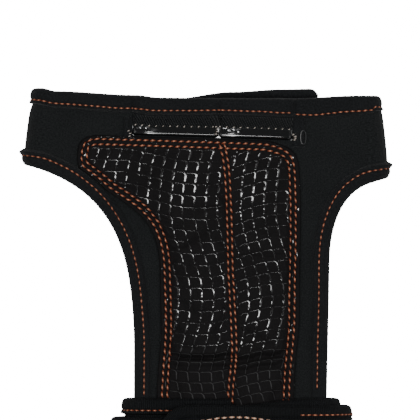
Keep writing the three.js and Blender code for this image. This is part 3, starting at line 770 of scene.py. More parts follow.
# where the topstitch of a side ends, as it isn't seen below the wrap's top edge
for name, cadNode, line, side, end in (
    ("topBinding", "top_binding", hemLine, 1, None),
    ("thumbSideBinding", "thumb_side_binding", thumbEdge, -1, 0.6),
    ("littleSideBinding", "little_side_binding", littleEdge, 1, 2.6),
):
    path, normals, nips = palmPoints[line], palmNormals[line], end is None
    bindEdge(name, cadNode, path, normals, side, cloth["neoprene"], "binding_tape", nips=nips,
             leg=cloth["leg"] if nips else sideLeg)
    path, normals, _ = resample(path, normals, 0.4)
    keep = path[:, 1] > (end or 0)
    if nips:
        keep = ~onFront(path) | (np.abs(path[:, 0] - hemNipEnd[0]) > hemNipEnd[1])
    seams += bindingStitches(path, normals, side, cloth["neoprene"], nips=nips, keep=keep)

# back panel between the flaps
backPanel = {"inset": 0.1, "tilt": 3.2, "corner": 2.2, "rows": 29, "columns": 109,
             "edge": [(0, 0), (0.34, 0.05), (0.61, 0.69), (0.83, 0.93), (1, 1)]}


def panelTop(x):
    start, end = palm["thumbSeam"] + gap, palm["littleSeam"]
    rise = readTable(backPanel["edge"], (x - start) / (end - start)) * backPanel["tilt"]
    pull = 0.8 * backPanel["corner"] * np.maximum(0, 1 - (end - x) / backPanel["corner"]) ** 2
    return palm["length"] - backPanel["inset"] + rise - pull, pull


panelX = np.linspace(palm["littleSeam"], palm["thumbSeam"] + gap, backPanel["columns"] + 1)
panelHem, panelPull = panelTop(panelX)
panelY = lerp(panelHem, lowerLine(panelX), np.linspace(0, 1, backPanel["rows"] + 1)[:, None])
panelPoints = join(panelX, panelY, backHeight)
backCloth = makePiece("backCloth", *gridWall(panelPoints, panelPoints[..., :2], half, half), neopreneCloth,
                      "neoprene")
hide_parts("back_panel")
down = np.broadcast_to([0.0, 0.0, -1.0], panelPoints[0].shape)
panelLeg = (runLength(panelPoints[0]), cloth["leg"] - panelPull)
for name, cadNode, line, out, leg in (
    ("backTopBinding", "back_top_binding", panelPoints[0], [0.0, 1.0, 0.0], panelLeg),
    ("backLowerBinding", "back_lower_binding", panelPoints[-1][::-1], [0.0, -1.0, 0.0], cloth["leg"]),
):
    bindEdge(name, cadNode, line, down, 1, cloth["neoprene"], "binding_tape", out=out, leg=leg)
    path, normals, _ = resample(line, down, 0.4)
    seams += bindingStitches(path, normals, 1, cloth["neoprene"], out=out)

bandSeams = makePiece("bandSeams", *joinMeshes(seams), orangeThread, "binding_tape", sharp=0)

# walls between the fingers
fingerWeb = {"thickness": 1.5, "depth": 12.0, "inset": 0.6, "bow": 0.8, "steps": 25}
for index, place in enumerate(webPlaces):
    share = np.linspace(0, 1, fingerWeb["steps"])
    y = hemAt(place) - fingerWeb["inset"] - fingerWeb["depth"] * share[:, None]
    reach = fingerWeb["thickness"] / 2 + fingerWeb["bow"]
    roof = np.minimum(palmHeight(place - reach, y), palmHeight(place + reach, y)) - half - proud - 2 * gap
    z = lerp(backHeight + half + proud + gap, roof, share[None])
    x = place + (fingerWeb["bow"] + 0.15 * np.sin(y * 1.3)) * np.sin(math.pi * share[None])
    points = join(x, y, z)
    thick = fingerWeb["thickness"] / 2
    web = makePiece(f"fingerWeb{index + 1}", *gridWall(points, points[..., 1:], thick, thick), webKnit,
                    "web_knit")
    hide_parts(f"finger_web_{index + 1}")

print("padding the palm")
palmPad = {
    "top": 79.0, "tail": 4.0, "thumbReach": 38.2, "littleReach": 27.9, "rows": 210, "columns": 130,
    "outerSeam": 1.15, "innerSeam": 2.75, "midGap": 0.68, "flange": 1.1, "stuffing": 1.2,
    # thumb side out and down, little side out and down, as shares of the reaches and the length
    "outline": [
        (0.85, 0, 0.64, 0.021), (0.93, 0.008, 0.8, 0.036), (0.983, 0.03, 0.912, 0.058),
        (1, 0.062, 0.972, 0.094), (1, 0.1, 0.99, 0.144), (0.965, 0.134, 0.996, 0.198),
        (0.855, 0.175, 1, 0.25), (0.695, 0.222, 1, 0.289), (0.548, 0.27, 1, 0.327),
        (0.446, 0.321, 1, 0.374), (0.384, 0.383, 0.997, 0.424), (0.356, 0.451, 0.993, 0.48),
        (0.349, 0.53, 0.989, 0.54), (0.344, 0.61, 0.987, 0.612), (0.341, 0.686, 0.984, 0.686),
        (0.349, 0.765, 0.965, 0.765), (0.362, 0.845, 0.942, 0.845), (0.372, 0.925, 0.93, 0.925),
        (0.374, 1, 0.928, 1),
    ],
    # middle double seam: share of the length down, place across in millimetres
    "middle": [(0.03, 4.8), (0.13, 6.2), (0.3, 6.9), (0.47, 7.2), (0.63, 7.9), (0.78, 8.4), (0.9, 7.5),
               (1, 7.0)],
    # height of the stuffed face along the palm, against the band's own: level shelves, short slopes between
    "level": [(-4, -1.5), (3, -0.95), (9, -0.35), (14, 0.3), (20.5, 1.3), (27, 1.5), (34, 1.55), (43, 0.8),
              (52, 0.0), (60, -0.15), (70, -0.15), (80, -0.25)],
}


def roundCurve(rows, spots):
    # smooth curve through listed rows
    rows = np.vstack([2 * rows[0] - rows[1], rows, 2 * rows[-1] - rows[-2]])
    spot = np.clip(spots.astype(int), 0, len(rows) - 4)
    t = (spots - spot)[:, None]
    a, b, c, d = (rows[spot + k] for k in range(4))
    curve = 2 * b + (c - a) * t + (2 * a - 5 * b + 4 * c - d) * t ** 2
    return 0.5 * (curve + (3 * b - a - 3 * c + d) * t ** 3)


def evenLine(line, step):
    # the same line with points at an even distance
    run = runLength(line)
    return readLine(np.linspace(0, run[-1], int(round(run[-1] / step)) + 1), run, line)


cutLines = []
for side in (-1, 1):
    y = np.linspace(cutCorner(side), -palm["tail"], 160)
    cutLines.append(join(cutEdge(side, y), y))
cutLines = np.concatenate(cutLines)


def clearOfBinding(places):
    room = cloth["leg"] + 2 * gap
    away = places[:, None] - cutLines[None]
    distance = np.linalg.norm(away, axis=-1)
    near = np.argmin(distance, axis=1)
    close = distance[np.arange(len(places)), near]
    moved = cutLines[near] + away[np.arange(len(places)), near] / close[:, None] * room
    return np.where((close < room)[:, None], moved, places)


def padGrid(rowCount, columnCount):
    table = np.array(palmPad["outline"])
    length = palmPad["top"] + palmPad["tail"]
    marks = join(
        -table[:, 0] * palmPad["thumbReach"], palmPad["top"] - table[:, 1] * length,
        table[:, 2] * palmPad["littleReach"], palmPad["top"] - table[:, 3] * length,
    )
    fine = roundCurve(marks, np.linspace(0, len(marks) - 1, 900))
    run = runLength(fine)
    fine = readLine(np.linspace(0, run[-1], rowCount + 1), run, fine)
    thumb, little = clearOfBinding(fine[:, :2]), clearOfBinding(fine[:, 2:])
    share = np.linspace(0, 1, columnCount + 1)
    share = lerp(share, ease(share), 0.35)[None, :, None]
    return lerp(thumb[:, None], little[:, None], share), thumb, little


def lineDistance(places, line):
    # distance from each place to a polyline
    best = np.full(len(places), 1e9)
    for start, step in zip(line[:-1], np.diff(line, axis=0)):
        t = np.clip(((places - start) @ step) / max(step @ step, 1e-9), 0, 1)
        best = np.minimum(best, np.linalg.norm(places - start - t[:, None] * step, axis=1))
    return best


def readSmooth(rows, place):
    fine = roundCurve(np.asarray(rows, float), np.linspace(0, len(rows) - 1, 600))
    return np.interp(place, fine[:, 0], fine[:, 1])


def middleLine():
    shares = np.linspace(palmPad["middle"][0][0], 1, 80)
    down = shares * (palmPad["top"] + palmPad["tail"])
    return join(readSmooth(palmPad["middle"], shares), palmPad["top"] - down)


# folds that the soft pad has taken: the pleat above the wrap, broad rolls across, and the finger wall's nip
creases = {
    "pleatY": 12.3, "nip": (-20.4, 0.5), "nipTop": 76, "nipFade": 3.0,
    "pleatBow": [(-14, 0.7), (-1, -0.1), (6, 0.2), (10, -1.0), (17, 0.4), (25, 1.5), (40, 2)],
    # grooves and ridges of the pleat: place along the palm, height, width
    "pleat": [(0, -1.65, 0.85), (-3.1, -0.9, 0.7), (2.0, 0.3, 0.8), (-1.6, 0.3, 0.6)],
}


def padFolds(x, y):
    off = y - creases["pleatY"] - readTable(creases["pleatBow"], x)
    pleat = sum(height * bell(off - place, width) for place, height, width in creases["pleat"])
    rolls = 0.11 * np.sin(0.27 * x - 0.16 * y + 0.6) + 0.05 * np.sin(0.45 * x + 0.2 * y + 2.0)
    nipX, nipWidth = creases["nip"]
    nip = -0.7 * bell(x - nipX, nipWidth) * bell(np.maximum(0, creases["nipTop"] - y), creases["nipFade"])
    level = readSmooth(palmPad["level"], y) - bandSwell(y) * ease((y - 6) / 8)
    return pleat + nip + rolls * ease((y - 4) / 10) + level


def padProfile(places, outline, middle):
    inside = lineDistance(places, outline)
    seam = lineDistance(places, middle)
    puff = palmPad["stuffing"] * (1 - np.exp(-np.maximum(0, inside - palmPad["innerSeam"]) / 2.2))
    puff = puff * (0.3 + 0.7 * (1 - np.exp(-np.maximum(0, seam - palmPad["midGap"]) / 2.0)))
    rounded = palmPad["flange"] * np.sqrt(np.clip(inside / 0.5, 0.05, 1))
    grooves = 0.0
    for line in (palmPad["outerSeam"], palmPad["innerSeam"]):
        grooves = grooves + 0.38 * bell(inside - line, 0.34)
    grooves = grooves + 0.34 * bell(seam - palmPad["midGap"], 0.3)
    calm = ease((inside - palmPad["innerSeam"]) / 3.5)
    height = rounded + puff - grooves + calm * padFolds(places[:, 0], places[:, 1])
    return np.maximum(0.25, height), inside, seam


padSlack = {
    "quality": 6, "mass": 0.4, "pin_stiffness": 8, "shrink_min": -0.035, "tension_stiffness": 25,
    "compression_stiffness": 25, "shear_stiffness": 12, "bending_stiffness": 2.5,
    "use_pressure": True, "uniform_pressure_force": 0.6,
}
# how strongly the cloth is held at the seams, over how far that fades, and the most it may move in millimetres
padHold = {
    "seam": 1.4, "middle": 1.3, "fade": 0.9, "least": 0.02, "furthest": 1.4, "frames": 18,
    "scale": 10,  # the solver is steadier on a larger cloth
}


def swellPad(rowCount, columnCount):
    # the pad's face is slack cloth held along its seams: the cloth simulation lets it swell between them
    grid, thumb, little = padGrid(rowCount, columnCount)
    places = grid.reshape(-1, 2)
    outline, middle = padOutline(thumb, little), middleLine()
    height, inside, seam = padProfile(places, outline, middle)
    rest = palmPoint(places[:, 0], places[:, 1], half + gap + height)
    scale = padHold["scale"]
    mesh = bpy.data.meshes.new("padFace")
    mesh.from_pydata(toFrame(rest) * scale, [], gridQuads(rowCount, columnCount).tolist())
    face = addObject("padFace", mesh)
    held = face.vertex_groups.new(name="held")
    bySeam = padHold["seam"] - np.maximum(0, inside - palmPad["innerSeam"]) / padHold["fade"]
    byMiddle = padHold["middle"] - np.maximum(0, seam - palmPad["midGap"]) / padHold["fade"]
    hold = np.maximum(np.clip(bySeam, 0, 1), np.clip(byMiddle, 0, 1))
    for index, weight in enumerate(hold):
        if weight > padHold["least"]:
            held.add([index], float(weight), "REPLACE")
    sim = face.modifiers.new("cloth", "CLOTH")
    for key, value in padSlack.items():
        setattr(sim.settings, key, value)
    sim.settings.vertex_group_mass = "held"
    sim.settings.effector_weights.gravity = 0
    sim.collision_settings.use_collision = False
    sim.collision_settings.use_self_collision = False
    for number in range(1, padHold["frames"] + 1):
        bpy.context.scene.frame_set(number)
    evaluated = face.evaluated_get(bpy.context.evaluated_depsgraph_get())
    after = np.empty(len(rest) * 3)
    evaluated.data.vertices.foreach_get("co", after)
    moved = (after.reshape(-1, 3) - toFrame(rest) * scale) / scale / millimetre
    bpy.context.scene.frame_set(1)
    bpy.data.objects.remove(face)
    size = np.linalg.norm(moved, axis=1, keepdims=True)
    moved = moved * np.minimum(1, padHold["furthest"] / np.maximum(size, 1e-6))
    return moved.reshape(rowCount + 1, columnCount + 1, 3)


def padOutline(thumb, little):
    return np.concatenate([thumb[::-4], thumb[:1], little[::4], little[-1:]])


def upsample(grid, rowCount, columnCount):
    rows = np.linspace(0, grid.shape[0] - 1, rowCount + 1)
    columns = np.linspace(0, grid.shape[1] - 1, columnCount + 1)
    low = np.minimum(rows.astype(int), grid.shape[0] - 2)
    left = np.minimum(columns.astype(int), grid.shape[1] - 2)
    down, across = ease(rows - low)[:, None, None], ease(columns - left)[None, :, None]
    upper = lerp(grid[low][:, left], grid[low][:, left + 1], across)
    return lerp(upper, lerp(grid[low + 1][:, left], grid[low + 1][:, left + 1], across), down)


padPlaces, padThumb, padLittle = padGrid(palmPad["rows"], palmPad["columns"])
padLine, padMiddle = padOutline(padThumb, padLittle), middleLine()
flatPlaces = padPlaces.reshape(-1, 2)
padHigh, padInside, _ = padProfile(flatPlaces, padLine, padMiddle)
padUnder = palmPoint(flatPlaces[:, 0], flatPlaces[:, 1], half + gap)
padTop = palmPoint(flatPlaces[:, 0], flatPlaces[:, 1], half + gap + padHigh)
print("swelling the pad by cloth simulation")
swell = upsample(swellPad(76, 52), palmPad["rows"], palmPad["columns"]).reshape(-1, 3)
padTop = padTop + swell * ease((padInside - palmPad["innerSeam"]) / 1.2)[:, None]
padQuads = gridQuads(palmPad["rows"], palmPad["columns"])
pad = makePiece("palmPadding", *shell(padTop, padUnder, padQuads, flatPlaces), padCloth, "printed_pad",
                sharp=75)
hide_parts("palm_pad")

padTree = BVHTree.FromPolygons(padTop.tolist(), padQuads.tolist())
padNormals = sheetNormals(padTop, padQuads)


def onPad(places):
    # drops places on the pad's face, with the smooth normal there
    points, normals = np.zeros((len(places), 3)), np.zeros((len(places), 3))
    hit = np.zeros(len(places), bool)
    for index, (x, y) in enumerate(places):
        where, _, face, _ = padTree.ray_cast(Vector((x, y, 60.0)), Vector((0, 0, -1)))
        if where is not None:
            corners = padQuads[face]
            weight = 1 / (np.linalg.norm(padTop[corners] - np.array(where), axis=1) + 1e-4)
            points[index], hit[index] = where, True
            normals[index] = unit((padNormals[corners] * weight[:, None]).sum(0))
    return points, normals, hit


print("printing the grid")
printGrid = {
    "cell": (3.48, 3.44), "startX": -41.7, "startY": 77.83, "columns": 20, "rows": 25, "corner": 0.7,
    "opening": 0.5, "step": 0.34, "narrowest": 0.07, "rubbedBelow": 15.5,
    # how near the print comes to the inner seam, the outer one, the middle ones, and its width between two
    "byInner": 0.45, "byOuter": 0.25, "byMiddle": 0.55, "between": 0.3,
    "down": (0.36, 0.12), "across": (0.065, 0.045),  # half width and height of both strokes
    # sideways drift of the lines as the cloth has sheared: place down the palm in millimetres, drift
    "drift": [(-6, 5.2), (0.2, 3.1), (2.5, 2.4), (5.5, 1.75), (8.5, 1.5), (11.5, 2.1), (14.5, 2.85),
              (17.5, 3.75), (20.5, 4.35), (23.5, 5.1), (26.5, 5.6), (29.5, 5.85), (32.5, 5.7), (35.5, 5.3),
              (38.5, 4.5), (41.5, 3.5), (44.5, 2.55), (47.5, 1.6), (50.5, 0.8), (53.5, 0.15), (56.5, -0.15),
              (59.5, 0), (62.5, 0.2), (65.5, 0.5), (70, 1.15), (73, 2.05), (80, 4.3)],
    # the rows close up where the pleat takes cloth in
    "slide": [(-6, 3.5), (-1.2, 3.15), (2.3, 2.7), (5.7, 2.55), (9.1, 2.0), (12.5, 0.95), (16, 0.2),
              (19.5, 0), (80, 0)],
    # the print is thinner where the cloth is stretched
    "thin": [(-6, 0.45), (13, 0.45), (18, 0.9), (22, 1.05), (33, 1.05), (38, 0.65), (50, 0.6), (55, 1.0),
             (59, 1.2), (80, 1.15)],
    # how far a row climbs along its way across the palm
    "climb": [(-40, 4.3), (-24.3, 3.9), (-19.2, 3.0), (-16.8, 2.4), (-13.5, 1.75), (-10.2, 0.8),
              (-6.9, 0.3), (-3.3, 0), (2.1, 0.1), (5.7, 0.9), (8.1, 1.65), (10.2, 2.4), (12, 3.1), (13.8, 3.6),
              (16.8, 4.3), (19.8, 4.8), (30, 5.3)],
}


def printPlace(u, v):
    # from the flat print to where it lies on the palm
    x, y = u, v
    for _ in range(3):
        climb = readSmooth(printGrid["climb"], x) * lerp(0.8, 1, ease((v - 8) / 8))
        y = v + readSmooth(printGrid["slide"], v) + climb
        x = u + readSmooth(printGrid["drift"], y)
    return join(x, y)


def raisedLine(path, up, width, height, mark):
    # one low closed ridge of print that follows the pad
    along = unit(np.gradient(path, axis=0))
    across = unit(np.cross(up, along))
    section = np.array([(-1, -0.35), (-0.8, 0.66), (-0.42, 1), (0.42, 1), (0.8, 0.66), (1, -0.35)])
    ends = fromEnds(len(path))
    taper = np.minimum(1, 0.45 + ends * 0.4)
    low = height * np.minimum(1, 0.6 + ends * 0.4)
    side = across[:, None] * (section[None, :, 0] * (width * taper)[:, None])[..., None]
    lift = up[:, None] * (section[None, :, 1] * low[:, None])[..., None]
    ring = path[:, None] + side + lift
    at = np.arange(len(path) * len(section)).reshape(-1, len(section))
    faces = np.roll(tubeQuads(at), -1, 1).tolist() + [at[0].tolist(), at[-1, ::-1].tolist()]
    run = np.arange(len(path))[:, None] * printGrid["step"]
    marks = join(run + mark, section[None, :, 0] * width[:, None])
    return ring.reshape(-1, 3), faces, marks.reshape(-1, 2)


def printStroke(column, row):
    # the top and the far side of one cell, drawn as one stroke that bends at the corner
    (cell, tall), corner = printGrid["cell"], printGrid["corner"]
    left = printGrid["startX"] + column * cell + rng.normal(0, 0.05)
    top = printGrid["startY"] - row * tall + rng.normal(0, 0.05)
    corner = corner * rng.uniform(0.8, 1.3)
    turn = np.linspace(0, math.pi / 2, 6)
    bend = join(left + cell - corner + corner * np.sin(turn), top - corner + corner * np.cos(turn))
    lean = rng.normal(0.12, 0.06)
    foot = [left + cell - lean, top - tall + printGrid["opening"]]
    line = np.concatenate([[[left + 0.2, top - 0.05]], bend, [foot]])
    line = evenLine(line, printGrid["step"])
    turned = ease((line[:, 0] - (left + cell - corner * 1.3)) / corner)
    places = printPlace(line[:, 0], line[:, 1])
    points, up, hit = onPad(places)
    inside = lineDistance(places, padLine)
    seam = lineDistance(places, padMiddle)
    outer, inner = palmPad["outerSeam"], palmPad["innerSeam"]
    byOuter = printGrid["byOuter"]
    clear = (inside > inner + printGrid["byInner"]) | ((inside > byOuter) & (inside < outer - byOuter))
    clear = clear | (np.abs(inside - (outer + inner) / 2) < printGrid["between"])
    width = lerp(printGrid["across"][0], printGrid["down"][0], turned) * rng.uniform(0.8, 1.12)
    width = width * np.maximum(printGrid["narrowest"] / width, readTable(printGrid["thin"], places[:, 1]))
    height = lerp(printGrid["across"][1], printGrid["down"][1], turned)
    width = width * (1 + 0.16 * np.sin(np.arange(len(line)) * 1.3 + column * 2.1 + row * 3.7))
    keep = hit & clear & (seam > palmPad["midGap"] + printGrid["byMiddle"])
    mark = column * 3.1 + row * 7.3
    return [raisedLine(points[low:high], up[low:high], width[low:high], height[low:high], mark)
            for low, high in runsOf(keep, 3)]


strokes = []
for column in range(printGrid["columns"]):
    for row in range(printGrid["rows"]):
        strokes += printStroke(column, row)
gridPrint = makePiece("gridPrint", *joinMeshes(strokes), silicone, "printed_pad", sharp=0)
centres = np.empty(len(gridPrint.data.polygons) * 3)
gridPrint.data.polygons.foreach_get("center", centres)
rubbed = centres.reshape(-1, 3)[:, 1] / millimetre - zero[1] < printGrid["rubbedBelow"]
secondMaterial(gridPrint, wornSilicone, rubbed)  # rubbed matt where the palm bends at the wrist

print("stitching the pad")
padStitch = {"pitch": 2.15, "length": 2.12, "radius": 0.235, "slant": 12}


def insetLine(line, amount):
    # moves an outline inwards, and rounds what the move makes sharp
    ahead = unit(np.gradient(line, axis=0))
    moved = line + join(ahead[:, 1], -ahead[:, 0]) * amount
    for _ in range(6):
        moved[1:-1] = moved[1:-1] * 0.5 + (moved[:-2] + moved[2:]) * 0.25
    return moved[lineDistance(moved, line) > abs(amount) * 0.93]


padWalk = evenLine(np.concatenate([padThumb[::-1], padLittle]), 0.5)
seamLines = [insetLine(padWalk, palmPad["outerSeam"]), insetLine(padWalk, palmPad["innerSeam"])]
seamLines += [insetLine(evenLine(padMiddle, 0.5), side * palmPad["midGap"]) for side in (-1, 1)]
padSeams = []
for line in seamLines:
    points, normals, hit = onPad(evenLine(line, 0.4))
    padSeams.append(stitchRun(points[hit], normals[hit], padStitch))
padThread = makePiece("padThread", *joinMeshes(padSeams), orangeThread, "printed_pad", sharp=0)

print("laying the finger strip")
fingerStrip = {
    "thickness": 0.7, "start": -21.6, "end": 25.4, "ribs": 0.72, "slant": 0.5, "ribHeight": 0.1,
    "rows": 66, "columns": 320, "clear": 2.2,
    "seam": 0.5,  # share down to the row of small stitches, where the smooth rolled edge begins
    "roll": [(0, 0), (0.5, 0), (0.56, 0.0), (0.84, 0.38), (0.88, 0.4), (0.92, 0.2), (0.96, -0.1),
             (1, -0.4)],
    "broadRoll": [(0, 0), (0.5, 0), (0.56, 0.0), (0.76, 0.45), (0.8, 0.48), (0.92, 0.48), (0.96, 0.1),
                  (1, -0.4)],
    # shiny puckers on the roll: place across, share down, size
    "puckers": [(-19.4, 0.6, 0.3), (-17.6, 0.6, 0.26), (5.5, 0.5, 0.25), (6.7, 0.6, 0.32),
                (8.0, 0.56, 0.26), (9.3, 0.66, 0.2)],
    # where the roll's crest is broad and level, and how far down the strip it is
    "crests": [(-16.5, 3.6), (7.4, 2.8)], "crestAt": 0.86,
    "sewnAt": [3.6, -21.6, 25.4],  # sewn down between the fingers
    "dots": {"pitch": 2.1, "length": 0.7, "radius": 0.12, "slant": 35, "lift": 0.05},
}


def layStrip():
    x = np.linspace(fingerStrip["start"], fingerStrip["end"], fingerStrip["columns"] + 1)[None]
    share = np.linspace(0, 1, fingerStrip["rows"] + 1)[:, None]
    hem = hemAt(x) - cloth["leg"] - 0.8 * readTable(hemWide, x) - fingerStrip["clear"] * gap
    (startX, startY), (endX, endY) = padThumb[0], padLittle[0]
    foot = lerp(startY, endY, (x - startX) / (endX - startX)) + gap
    y = lerp(hem, foot, share)
    phase = (x + y * fingerStrip["slant"]) * 2 * math.pi / fingerStrip["ribs"]
    ribs = fingerStrip["ribHeight"] * np.sin(phase)
    rise = ribs * ease(share * 8) * ease((fingerStrip["seam"] + 0.02 - share) * 14)
    broad = sum(bell(x - place, reach) for place, reach in fingerStrip["crests"])
    rolls = [readSmooth(fingerStrip[key], share) for key in ("roll", "broadRoll")]
    rise = rise + lerp(*rolls, broad)
    crestAt = fingerStrip["crestAt"]
    evened = palmHeight(x, lerp(hem, foot, crestAt)) - palmHeight(x, y)
    rise = rise + evened * np.exp(-((share - crestAt) / 0.1) ** 4) * broad
    rise = rise - 0.08 * bell(share - fingerStrip["seam"], 0.03)
    for place, down, size in fingerStrip["puckers"]:
        rise = rise + size * bell(x - place, 0.55) * bell(share - down, 0.06)
    for place in fingerStrip["sewnAt"]:
        rise = rise - (0.6 * bell(x - place, 0.5) + 0.3 * bell(x - place, 1.6))
    top = palmPoint(x, y, half + gap + np.maximum(0.15, fingerStrip["thickness"] + rise))
    onRoll = np.repeat(share[:-1, 0] > fingerStrip["seam"] + 0.04, fingerStrip["columns"])
    return top, palmPoint(x, y, half + gap), join(x, y), onRoll


stripTop, stripUnder, stripUv, onRoll = layStrip()
strip = makePiece("ribStrip", *gridShell(stripTop, stripUnder, stripUv), stripElastic, "ribbed_elastic",
                  sharp=75)
rolled = np.zeros(len(strip.data.polygons), bool)
rolled[:len(onRoll)] = onRoll
secondMaterial(strip, rolledFilm, rolled)
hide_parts("finger_strip")

seamRow = stripTop[int(fingerStrip["rows"] * fingerStrip["seam"])]
upward = np.tile([0.0, 0.0, 1.0], (len(seamRow), 1))
stripDots = makePiece("stripDots", *stitchRun(seamRow, upward, fingerStrip["dots"]), beigeThread,
                      "ribbed_elastic", sharp=0)

# folded tape ends that hold the strip
tapeEnds = {
    "high": 84.4, "rise": 1.0, "lift": 0.12, "under": 0.05, "rows": 40, "columns": 21,
    # place across, width and lower end of each
    "ends": [("thumbTapeEnd", -22.9, 2.6, 77.2), ("littleTapeEnd", 27.4, 3.6, 75.4)],
}
for name, place, width, low in tapeEnds["ends"]:
    across = np.linspace(-1, 1, tapeEnds["columns"])[None]
    along = np.linspace(0, 1, tapeEnds["rows"])[:, None]
    rounding = np.sqrt(np.clip(1 - np.abs(across) ** 6, 0, 1))
    rounding = rounding * np.sqrt(np.clip(1 - np.abs(2 * along - 1) ** 14, 0, 1))
    x, y = place + across * width / 2, lerp(tapeEnds["high"], low, along)
    swollen = 0.8 + 0.2 * np.abs(across) - 0.35 * bell(across - 0.25, 0.14)
    top = palmPoint(x, y, half + tapeEnds["lift"] + tapeEnds["rise"] * rounding * swollen)
    under = palmPoint(x, y, half + tapeEnds["under"])
    makePiece(name, *gridShell(top, under, join(y, x)), tapeCloth, "web_knit")

print("winding the wrist wrap")


def topHeight(x, layer):
    return ringHeight + wrap["inner"] + layer * pitch + wrap["arch"] * np.cos(np.pi * x / 2 / ringFlat) ** 2


def climbShare(x):
    return ease((ringFlat - x) / (ringFlat - wrap["meet"]))


def strapPath(arch=26, fold=22, bottom=30):
    rows = []
    for layer in (0, 1):
        radius = wrap["inner"] + layer * pitch
        for step in range(arch):
            x = -ringFlat * step / arch
            rows.append((layer + 0.25 * step / arch, x, topHeight(x, layer)))
        turned = [(radius * math.sin(math.pi * step / fold), radius * math.cos(math.pi * step / fold))
                  for step in range(fold)]
        rows += [(layer + 0.25, -ringFlat - away, ringHeight + up) for away, up in turned]
        for step in range(bottom):
            share = step / bottom
            rows.append((layer + 0.25 + 0.5 * share, lerp(-ringFlat, ringFlat, share), ringHeight - radius))
        rows += [(layer + 0.75, ringFlat + away, ringHeight - up) for away, up in turned]
        for step in range(2 * arch):
            x = ringFlat * (1 - step / (2 * arch))
            rows.append((layer + 0.75 + 0.125 * step / arch, x, topHeight(x, layer + climbShare(x))))
    return np.array(rows)


def roundedShares(corner, tall, rowCount, turnCount):
    # shares down a piece, closer together round its corners
    near = corner / tall * (1 - np.cos(np.linspace(0, math.pi / 2, turnCount)))
    straight = np.linspace(near[-1], 1 - near[-1], rowCount - 2 * turnCount + 2)[1:-1]
    return np.concatenate([near, straight, 1 - near[::-1]])


def strapSheet(rowCount=58, endSteps=24):
    path = strapPath()
    share = roundedShares(wrap["corner"], wrap["width"], rowCount, 10)
    drop = readTable(wrap["slip"], path[:, 0]) * wrap["width"]
    wound = join(path[:, 1][:, None], -drop[:, None] - share * wrap["width"], path[:, 2][:, None])
    step = np.linspace(0, 1, endSteps + 1)[:, None]
    pull = cornerPull(np.minimum(share, 1 - share) * wrap["width"], wrap["corner"])
    endX = -step * (wrap["end"] - pull)
    endY = -readTable(wrap["slip"], 2 + 0.15 * step) * wrap["width"] - share * wrap["width"]
    return np.concatenate([wound, join(endX, endY, topHeight(endX, 2))]) + [wrap["centre"], 0, 0]


strapGrid = strapSheet()
strapRows, strapColumns = strapGrid.shape[:2]
strapRun = runLength(strapGrid[:, strapColumns // 2])
strapUv = join(strapRun[:, None], strapGrid[..., 1]).reshape(-1, 2)
strapPoints = strapGrid.reshape(-1, 3)
strapQuads = gridQuads(strapRows - 1, strapColumns - 1)
strapNormals = sheetNormals(strapPoints, strapQuads)
thin = wrap["thickness"] / 2
wristWrap = makePiece("wristWrap", *wall(strapPoints, strapQuads, strapUv, thin, thin), wrapElastic,
                      "wrap_elastic")
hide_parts("wrist_wrap")
strapAt = np.arange(strapRows * strapColumns).reshape(strapRows, strapColumns)
wrapSeams = []
for name, cadNode, line, side in (
    ("wrapTopBinding", "wrap_top_binding", np.concatenate([strapAt[:, 0], strapAt[-1, 1:]]), -1),
    ("wrapLowerBinding", "wrap_lower_binding", strapAt[:, -1], 1),
):
    path, normals = strapPoints[line].copy(), strapNormals[line]
    if side > 0:
        path[-1, 0] += 2 * gap
    path, normals, _ = resample(path, normals, 0.6)
    out = outwards(path, normals, side)
    if side < 0:
        out[-3:] = [0.0, -1.0, 0.0]
    bindEdge(name, cadNode, path, normals, side, wrap["thickness"], "wrap_binding", wrapTape, out=out,
             step=0.6)
    outer = np.arange(len(path)) > np.flatnonzero(path[:, 2] < ringHeight)[-1]
    low, high = wrap["plain"]
    plain = (path[:, 0] > low) & (path[:, 0] < high) & (path[:, 1] > wrap["plainAbove"])
    past = ease((path[:, 0] - wrap["nearerFrom"]) / wrap["nearerOver"])
    nearer = (wrap["nearer"] * outer * past)[:, None] if side < 0 else 0
    keep = ~(outer & plain) | (side > 0)
    wrapSeams += bindingStitches(path, normals, side, wrap["thickness"], out=out, keep=keep, nearer=nearer)
wrapThread = makePiece("wrapThread", *joinMeshes(wrapSeams), orangeThread, "wrap_binding", sharp=0)

# fastening patch under the strap's end
hookPatch = {"thickness": 1.0, "length": 14.0, "margin": 12.0}
x = -wrap["end"] + cloth["leg"] + gap + hookPatch["length"] * np.linspace(0, 1, 24)[None]
y = -lerp(hookPatch["margin"], wrap["width"] - hookPatch["margin"], np.linspace(0, 1, 60))[:, None]
points = join(x + wrap["centre"], y, topHeight(x, 1.5))
thick = hookPatch["thickness"] / 2
patch = makePiece("hookPatch", *gridWall(points, points[..., :2], thick, thick), hookPile, "hook_tape")
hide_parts("hook_patch")

# bare stitched patch on the outer turn
labelPatch = {
    "thickness": 0.8, "width": 33.0, "height": 24.0, "corner": 8.0, "arch": 1.0, "offset": 1.2, "top": 4.45,
    "lift": 1.2, "rows": 60, "columns": 70,
    "seam": {"in": 0.55, "pitch": 2.2, "length": 1.75, "radius": 0.27},
}


def labelGrid(inset):
    # the patch's place for each share down and across, drawn in by inset
    tall, wide = labelPatch["height"] - 2 * inset, labelPatch["width"] / 2 - inset
    corner = labelPatch["corner"] - inset
    down = roundedShares(corner, tall, labelPatch["rows"], 12)[:, None]
    reach = wide - cornerPull(np.minimum(down, 1 - down) * tall, corner)
    across = np.linspace(-1, 1, labelPatch["columns"])[None]
    top = -labelPatch["top"] - inset
    arched = labelPatch["arch"] * across ** 2 * (1 - down)
    return labelPatch["offset"] + across * reach, top - down * tall - arched


